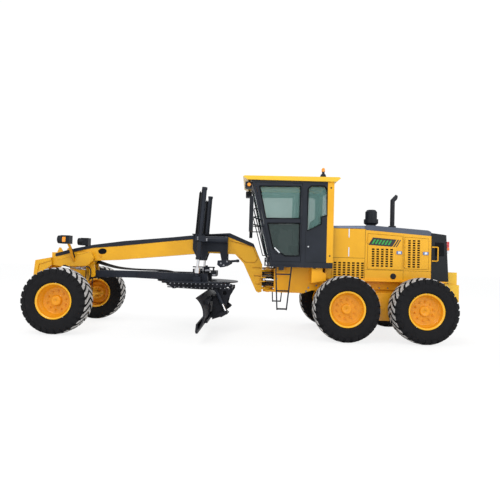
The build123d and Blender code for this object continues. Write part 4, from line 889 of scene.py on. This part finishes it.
# Beacon foot, lamps and mirrors
BEACON = (-1160, -400)
BEACON_FOOT = (
    # z0, z1, r0, r1, sides
    (3344.5, 3362, 84, 80, 40),
    (3360, 3430, 66, 66, 40),
    (3429, 3460, 66, 58, 40),
    (3459, 3480, 58, 46, 40),
    (3479, 3497, 46, 30, 40),
    (3495, 3537, 28, 28, 24),
)
LAMP_Z = 1896
LAMP_BRACKET = (
    # x0, x1, z0, z1
    (-6745, -6560, 1973, 1985),
    (-6760, -6560, 1806, 1817),
    (-6572, -6562, 1812, 1975),
)
LAMP_POLE = ((-6585, 258, 1440), (-6590, 300, 1500), (-6605, 430, 1740), (-6612, 500, 1822))


def beacon_foot():
    """The stepped foot of the beacon."""
    foot = Shape()
    for z0, z1, r0, r1, sides in BEACON_FOOT:
        foot.round((*BEACON, z0), (*BEACON, z1), r0, r1, sides)
    foot.done("beacon_foot", PLASTIC, "rear")


def headlamp_fittings(side, hand):
    """Glass, ring, turn marker, bracket and pole of a headlamp."""
    y = hand * LAMP_Y
    glass = Shape()
    glass.round((-6825, y, LAMP_Z), (-6819.3, y, LAMP_Z), 68, 72, 32)
    glass.done(f"headlamp_glass_{side}", CLEAR, "front", bevel=2)
    ring = Shape()
    ring.round((-6822, y, LAMP_Z), (-6796, y, LAMP_Z), 87, sides=32)
    ring.done(f"headlamp_ring_{side}", PLASTIC, "front", bevel=3)
    block(f"turn_marker_{side}", AMBER, "front", hand, (-6712, -6640), (572.3, 582), (1842, 1950), 4)
    bracket = Shape()
    for x0, x1, z0, z1 in LAMP_BRACKET:
        bracket.box(x0, x1, *flank(hand, 410, 590), z0, z1)
    bracket.done(f"headlamp_bracket_{side}", PLASTIC, "front", bevel=2)
    pipe(f"headlamp_pole_{side}", mirrored(LAMP_POLE, hand), 27, ORANGE, "front")


beacon_foot()
for side, hand in SIDES:
    headlamp_fittings(side, hand)
    block(f"work_lamp_glass_{side}", CLEAR, "rear", hand, (-2851, -2845.5), (525, 715), (3098, 3203), 3)
    block(f"mirror_glass_{side}", CHROME, "rear", hand, (-2661.5, -2659), (1072, 1238), (2150, 2815))

# Nose and gooseneck
NOSE_STRIP = [
    (-6999, 1590), (-6960, 1606), (-6749, 1666), (-6556, 1722), (-6400, 1758), (-6400, 1686), (-6553, 1645),
    (-6745, 1587), (-6975, 1527), (-6999, 1545),
]
NOSE_BEAD = ((-6980, 1445), (-6455, 1598), (-6240, 1655), (-6178, 1610), (-6170, 1540), (-6262, 1350))
LEAN_RAM = (
    # start and end in X and Z, radius, slot
    ((-6798, 1341), (-6600, 1292), 13, 0),
    ((-6606, 1293), (-6500, 1283), 21, 1),
    ((-6504, 1283), (-6400, 1284), 25, 2),
    ((-6440, 1283), (-6410, 1284), 40, 2),
    ((-6410, 1290), (-6292, 1318), 14, 2),
    ((-6410, 1277), (-6290, 1252), 14, 2),
)
LEAN_HOSE = (
    (-6296, 300, 1318), (-6225, 300, 1322), (-6190, 298, 1250), (-6184, 292, 1150), (-6210, 280, 1060),
    (-6236, 262, 1020),
)
SOCKET = (-6000, 1672)
SOCKET_STEPS = 12
# Path of the painted shade line round the gooseneck's raised plate
GOOSE_CONTOUR = ((-3148, 1985), (-2650, 1868), (-2525, 1607), (-2600, 1520), (-2800, 1520), (-2950, 1640))
GOOSE_SHADES = ((-2645, 1404), (-2608, 1222), (-2556, 1042))
GOOSE_END_X = -2460


def lean_ram(side, hand):
    """The wheel-lean cylinder on the nose's side, with its two feet."""
    ram = Shape()
    for (x0, z0), (x1, z1), radius, slot in LEAN_RAM:
        ram.round((x0, hand * LEAN_RAM_Y, z0), (x1, hand * LEAN_RAM_Y, z1), radius, slot=slot)
    ram.box(-6790, -6760, *flank(hand, NOSE_Y, LEAN_RAM_Y), 1318, 1350)
    ram.box(-6460, -6430, *flank(hand, NOSE_Y, LEAN_RAM_Y - 10), 1268, 1298)
    ram.done(f"lean_ram_{side}", [RUBBER, BRASS, STEEL], "front", bevel=2)


def hose_socket(side, hand):
    """The oval dark socket on the beam, along its slope."""
    x, z = SOCKET
    oval = []
    for index in range(2 * SOCKET_STEPS):
        turn = index * math.pi / SOCKET_STEPS
        c, s = math.cos(turn), math.sin(turn)
        oval.append((x + 92 * c - 22 * s, z + 62 * s + 18 * c))
    slab(f"hose_socket_{side}", SEAL, "front", hand, oval, BEAM_Y, BEAM_Y + 9, 3)


def goose_lines(side, hand):
    """Painted shade on the gooseneck: dark lines along the pressed contour and under the raised bars."""
    pipe(f"goose_contour_shade_{side}", traced(GOOSE_CONTOUR, hand, BEAM_Y + 10), 5, SHADE_LINE_PAINT, "front")
    for x, z in GOOSE_SHADES:
        under_bar_shade = traced([(x, z), (GOOSE_END_X, z - 6)], hand, BEAM_Y + 8)
        pipe(f"goose_shade_{side}_{z}", under_bar_shade, 5, SHADE_LINE_PAINT, "front")


def mount_bolts():
    """Large bolts of the cab's rear mounts."""
    bolts = Shape()
    for _, hand in SIDES:
        bolts.side_bolts(MOUNT_BOLTS, hand, RAIL_Y + 1, 22, 14)
    bolts.done("mount_bolts", PLASTIC, "rear")


for side, hand in SIDES:
    slab(f"nose_strip_{side}", CHARCOAL, "front", hand, NOSE_STRIP, NOSE_Y + 0.5, NOSE_Y + 7, 4)
    pipe(f"nose_bead_{side}", traced(NOSE_BEAD, hand, NOSE_Y), 7, YELLOW, "front")
    lean_ram(side, hand)
    hose(f"lean_hose_{side}", mirrored(LEAN_HOSE, hand), 13, "front")
    hose_socket(side, hand)
    boss = Shape()
    boss.disc(-6040, 1570, hand, BEAM_Y, BEAM_Y + 23, 30, 26, 24)
    boss.done(f"beam_boss_{side}", ORANGE, "front", bevel=3)
    goose_lines(side, hand)
mount_bolts()

# Cab inside: sill trim, marker lamps, cushions
CUSHIONS = (
    # name, outline in X and Z, half width
    ("seat_cushion", [(-1822, 1893), (-1425, 1893), (-1425, 1930), (-1822, 1930)], 232),
    ("seat_back_pad", [(-1444, 1925), (-1403, 1925), (-1295, 2490), (-1334, 2497)], 222),
)
CUSHION_EDGE = 14


def cab_fittings(side, hand):
    """Sill trim inside the door, and the marker lamp under the roof."""
    block(f"sill_trim_{side}", PLASTIC, "rear", hand, (-2330, -1640), (690, 699.5), (1536, 1582), 2)
    cluster = Shape()
    cluster.disc(-2765, 3150, hand, 731, 748, 40, 36, 24)
    cluster.box(-2800, -2730, *flank(hand, 731, 742), 3088, 3108, 1)
    cluster.done(f"lamp_marker_{side}", [AMBER, PLASTIC], "rear", bevel=3)


for side, hand in SIDES:
    cab_fittings(side, hand)
for name, outline, half in CUSHIONS:
    pad = Shape()
    pad.plate(outline, -half, half)
    pad.done(name, FABRIC, "rear", bevel=CUSHION_EDGE, smooth=True)

# Hoses
# Each drawbar hose's Y and rise at its front end
DRAWBAR_HOSES = ((-60, 0), (-20, 26), (20, 8), (60, 30))
DRAWBAR_HOSE_R = 19
HINGE_HOSE_R = 15
LIFT_PIPE_R = 11
HINGE_HOSES_Z = (1010, 1050, 1092, 1130, 1172, 1208, 1250, 1290, 1390)
LIFT_PIPES = (
    # offset in X and Y from the cylinder's axis, top and low end
    (-46, 36, 3030, 2110),
    (-58, 14, 2970, 2080),
)
AXLE_HOSE = (
    (-6390, 158, 1300), (-6360, 175, 1280), (-6330, 190, 1220), (-6335, 200, 1060), (-6350, 210, 900),
    (-6345, 230, 730),
)


def drawbar_hoses():
    """Four hoses that hang along the beam and reach the circle's drive."""
    for index, (y, lift) in enumerate(DRAWBAR_HOSES):
        route = [
            (-6145, y, 1418 + lift), (-6060, y, 1392 + lift), (-5900, y * 1.2, 1352 + lift / 2),
            (-5650, y * 1.2, 1300 + lift / 3), (-5300, y, 1285), (-5000, y, 1283), (-4800, y * 0.9, 1285),
            (-4500, y * 1.3, 1270), (-4250, y * 1.6, 1190), (-4000, y * 1.6, 1225), (-3868, y * 1.4, 1240),
        ]
        joining_hose(f"drawbar_hose_{index}", route, DRAWBAR_HOSE_R, RUBBER)


def hinge_hoses(side, hand):
    """Hoses that cross the articulation, each with its own bow."""
    for index, z in enumerate(HINGE_HOSES_Z):
        bow = 2 * (index % 3) + index
        route = mirrored([(-2440, 118, z), (-2400, 160 + bow, z + 8), (-2290, 172 + bow, z + 18),
                          (-2140, 168 + bow, z + 4), (-1985, 150, z)], hand)
        joining_hose(f"hinge_hose_{side}_{index}", route, HINGE_HOSE_R,
                     (RUBBER, RUBBER, BRASS)[index % 3])


def lift_pipes(side, hand):
    """Pipes along a lift cylinder, which enter it at their tops."""
    for index, (dx, dy, top, low) in enumerate(LIFT_PIPES):
        route = [(lift_x(top), hand * LIFT_Y, top)]
        for z in (top - 6, 2600, low):
            route.append((lift_x(z) + dx, hand * (LIFT_Y + dy), z))
        pipe(f"lift_pipe_{side}_{index}", route, LIFT_PIPE_R, RUBBER, "front")


drawbar_hoses()
for side, hand in SIDES:
    hinge_hoses(side, hand)
    lift_pipes(side, hand)
    hose(f"axle_hose_{side}", mirrored(AXLE_HOSE, hand), 12, "front")

# Circle, blade and saddle
BOLT_PITCH = 88
BOLTS_A_ROW = 15
APRON = [(-4380, 1061), (-3060, 1061), (-3060, 1006), (-3300, 977), (-4330, 977), (-4380, 1000)]
APRON_HOLES = (-4110, -3990, -3870)
APRON_HOLES_Z = 1001
APRON_BOLTS = (-4339, 1042)
CIRCLE_BOLTS = (-4360, 955)
BLADE_BRACKET = [
    (-3463, 735), (-3400, 742), (-3330, 640), (-3180, 530), (-3105, 470), (-3150, 415), (-3330, 345),
    (-3463, 300),
]
BLADE_BRACKET_Y = (627.5, 639)
BRACKET_BOLTS = (
    # x, z, radius
    (-3420, 590, 24),
    (-3425, 395, 20),
    (-3290, 520, 16),
)
EDGE_TOP = (-3644, 380)
EDGE_RUN = 14
EDGE_FALL = 137
EDGE_BOLTS = 24
EDGE_BOLT_Y = -1748
EDGE_BOLT_PITCH = 152
EDGE_BOLT_LINES = (345, 300)
GUARD = ((-112, 2090), (-68, 2090), (-64, 2960), (-78, 3005), (-104, 2960))
GUARD_CLAMPS = (2180, 2560, 2920)
YOKE = [(-3838, 2040), (-3700, 2056), (-3592, 2005), (-3592, 1940), (-3700, 1925), (-3838, 1955)]
YOKE_Y = (671, 692)
YOKE_BOLTS = ((-3812, 2015), (-3812, 1975), (-3622, 1985), (-3622, 1955))
LEG = [
    (-3392, 1540), (-3200, 1560), (-3120, 1520), (-3130, 1470), (-3240, 1405), (-3330, 1392), (-3400, 1450),
]
LEG_Y = (430, 560)
LEG_STUB_Y = 500
LEG_BOLTS = ((-3260, 1440), (-3320, 1480), (-3190, 1520))
VALVE_BLOCKS = (
    # x0, x1, y0, y1, z0, z1
    (-3950, -3790, -300, -150, 1248, 1345),
    (-3720, -3590, -290, -202, 1240, 1390),
    (-3960, -3470, -262, -232, 1372, 1398),
    (-3560, -3430, -280, -120, 1188, 1300),
    (-3950, -3800, 150, 300, 1248, 1345),
    (-3600, -3440, 120, 280, 1188, 1310),
)
VALVE_ROUNDS = (
    # start, end, radius at each, slot
    ((-3860, -245, 1250), (-3860, -245, 1375), 22, 22, 0),
    ((-3500, -245, 1190), (-3500, -245, 1375), 18, 18, 0),
    ((-3655, -230, 1388), (-3655, -230, 1425), 30, 26, 0),
    ((-3680, -320, 1310), (-3560, -320, 1318), 26, 26, 1),
    ((-3520, -300, 1210), (-3440, -300, 1216), 20, 20, 1),
)


def bolt_row(x, z):
    """Places of a long row of bolts, from its front end."""
    return [(x + index * BOLT_PITCH, z) for index in range(BOLTS_A_ROW)]


def deck_apron(side, hand):
    """The drawbar deck's bolted edge plate, with its three holes drawn as dark discs of painted shade."""
    apron = Shape()
    apron.plate(APRON, *flank(hand, DECK_Y - 10, DECK_Y))
    apron.side_bolts(bolt_row(*APRON_BOLTS), hand, DECK_Y, 9, 7, 1)
    # Each hole is a dark disc on the plate: painted shade
    for x in APRON_HOLES:
        apron.disc(x, APRON_HOLES_Z, hand, DECK_Y, DECK_Y + 1, 17, sides=24, slot=2)
    apron.done(f"deck_apron_{side}", [WORN, STEEL, DARK], "drawbar", bevel=1.5)


def blade_bracket(side, hand):
    """The side plate between blade carrier and blade."""
    bracket = Shape()
    bracket.plate(BLADE_BRACKET, *flank(hand, *BLADE_BRACKET_Y))
    for x, z, radius in BRACKET_BOLTS:
        bracket.side_bolts([(x, z)], hand, BLADE_BRACKET_Y[1], radius, 12, 1)
    bracket.done(f"blade_bracket_{side}", [WORN, PLASTIC], "blade_carrier", bevel=2)


def edge_bolts():
    """Two rows of bolts in the cutting edge's face."""
    bolts = Shape()
    for index in range(EDGE_BOLTS):
        across = EDGE_BOLT_Y + index * EDGE_BOLT_PITCH
        for z in EDGE_BOLT_LINES:
            face_x = EDGE_TOP[0] - EDGE_RUN * (EDGE_TOP[1] - z) / EDGE_FALL
            bolts.round((face_x, across, z), (face_x - 7, across, z), 11, 9, 12)
    bolts.done("edge_bolts", STEEL, "blade")


def circle_bolts(side, hand):
    """A row of bolts along the circle's side."""
    row = Shape()
    row.side_bolts(bolt_row(*CIRCLE_BOLTS), hand, CIRCLE_Y, 10, 8)
    row.done(f"circle_bolts_{side}", STEEL, "circle")


def lift_guard(side, hand):
    """A guard strip before a lift cylinder, held by three clamps."""
    span = flank(hand, LIFT_Y - 20, LIFT_Y + 20)
    guard = Shape()
    guard.plate([(lift_x(z) + dx, z) for dx, z in GUARD], *span)
    for z in GUARD_CLAMPS:
        guard.box(lift_x(z) - 80, lift_x(z) - 40, *span, z - 14, z + 14)
    guard.done(f"lift_guard_{side}", SEAL, "front", bevel=3)


def saddle_fittings(side, hand):
    """Yoke at the lift cylinder, leg bracket and cylinder stub on the saddle."""
    yoke = Shape()
    yoke.plate(YOKE, *flank(hand, *YOKE_Y))
    yoke.side_bolts(YOKE_BOLTS, hand, YOKE_Y[1], 12, 9, 1)
    yoke.done(f"saddle_yoke_{side}", [CHARCOAL, STEEL], "front", bevel=4)
    leg = Shape()
    leg.plate(LEG, *flank(hand, *LEG_Y))
    y = hand * LEG_STUB_Y
    leg.round((-3130, y, 1528), (-2965, y, 1543), 26, 24)
    leg.round((-2990, y, 1541), (-2960, y, 1544), 34)
    leg.side_bolts(LEG_BOLTS, hand, LEG_Y[1], 14, 10, 1)
    leg.done(f"saddle_leg_{side}", [CHARCOAL, STEEL], "front", bevel=3)


def drawbar_valves():
    """Valve blocks and fittings on the drawbar's deck."""
    valves = Shape()
    for sizes in VALVE_BLOCKS:
        valves.box(*sizes)
    for start, end, r0, r1, slot in VALVE_ROUNDS:
        valves.round(start, end, r0, r1, slot=slot)
    valves.done("circle_valves", [PLASTIC, STEEL], "drawbar", bevel=4)


for side, hand in SIDES:
    deck_apron(side, hand)
    blade_bracket(side, hand)
edge_bolts()
for side, hand in SIDES:
    circle_bolts(side, hand)
    lift_guard(side, hand)
    saddle_fittings(side, hand)
drawbar_valves()

# Floor and light
scene = bpy.context.scene
FLOOR_HALF_M = 60
FLOOR_WHITE_SHARE = 0.78
WHITE_LEVEL = 1.03
AREA_LIGHTS = (
    # name, place, aim, size in metres, power
    ("key", (-4.0, -9.0, 11.0), (0, 0, 1.2), 6.0, 620),
    ("fill", (8.0, -8.0, 5.0), (1, 0, 1.2), 5.0, 180),
    ("back", (2.0, 10.0, 9.0), (0, 0, 1.5), 6.0, 300),
)


def seen_white(tree, surface, output, share):
    """Mixes white light into what the camera sees of a surface or the world."""
    link = tree.links.new
    path = add_node(tree, "LightPath")
    level = add_math(tree, "MULTIPLY")
    level.inputs[1].default_value = share
    glow = add_node(tree, "Emission", Strength=WHITE_LEVEL)
    mix = add_node(tree, "MixShader")
    link(path.outputs["Is Camera Ray"], level.inputs[0])
    link(level.outputs["Value"], mix.inputs["Fac"])
    link(surface, mix.inputs[1])
    link(glow.outputs["Emission"], mix.inputs[2])
    link(mix.outputs["Shader"], output)


def white_floor():
    """A wide pale floor."""
    half = FLOOR_HALF_M
    corners = [(-half, -half, 0), (half, -half, 0), (half, half, 0), (-half, half, 0)]
    mesh = bpy.data.meshes.new("floor")
    mesh.from_pydata(corners, [], [(0, 1, 2, 3)])
    floor = placed("floor", mesh)
    paper = material("floor_pale", (0.88, 0.88, 0.87), 0.9, scale=3.0, dark=(0.85, 0.85, 0.84))
    nodes = paper.node_tree.nodes
    seen_white(paper.node_tree, nodes["Principled BSDF"].outputs["BSDF"],
               nodes["Material Output"].inputs["Surface"], FLOOR_WHITE_SHARE)
    mesh.materials.append(paper)


def studio_sky():
    """Even light from all round, white to the camera."""
    world = bpy.data.worlds.new("studio")
    scene.world = world
    world.use_nodes = True
    tree = world.node_tree
    sky = tree.nodes["Background"]
    set_inputs(sky, Color=(0.97, 0.98, 1.0, 1), Strength=1.0)
    seen_white(tree, sky.outputs["Background"], tree.nodes["World Output"].inputs["Surface"], 1.0)


def area_light(name, place, aim, size_m, power):
    """A round area light."""
    light = bpy.data.lights.new(name, "AREA")
    light.shape = "DISK"
    light.size = size_m
    light.energy = power
    obj = placed(name, light)
    obj.location = place
    obj.rotation_euler = (Vector(aim) - Vector(place)).to_track_quat("-Z", "Y").to_euler()


white_floor()
scene.view_settings.view_transform = "Standard"
studio_sky()
for row in AREA_LIGHTS:
    area_light(*row)

# Camera, at the place of the photograph's
PHOTO_PX = 500.0
FOCAL_PX = 400.73
SENSOR_MM = 36.0
YAW = math.radians(-0.137)
PITCH = 0.02687326
ROLL = 0.0285031
EYE = Vector((0.1237, -9.09025, 1.55282))


def photo_camera():
    """The camera that sees the machine as the photograph does."""
    forward = Vector((math.sin(YAW) * math.cos(PITCH), math.cos(YAW) * math.cos(PITCH), math.sin(PITCH)))
    level = Vector((math.cos(YAW), -math.sin(YAW), 0))
    upright = level.cross(forward)
    right = level * math.cos(ROLL) + upright * math.sin(ROLL)
    up = upright * math.cos(ROLL) - level * math.sin(ROLL)
    camera = placed("camera", bpy.data.cameras.new("camera"))
    camera.data.sensor_width = SENSOR_MM
    camera.data.lens = SENSOR_MM * FOCAL_PX / PHOTO_PX
    camera.matrix_world = Matrix.Translation(EYE) @ Matrix((right, up, -forward)).transposed().to_4x4()
    return camera


scene.camera = photo_camera()
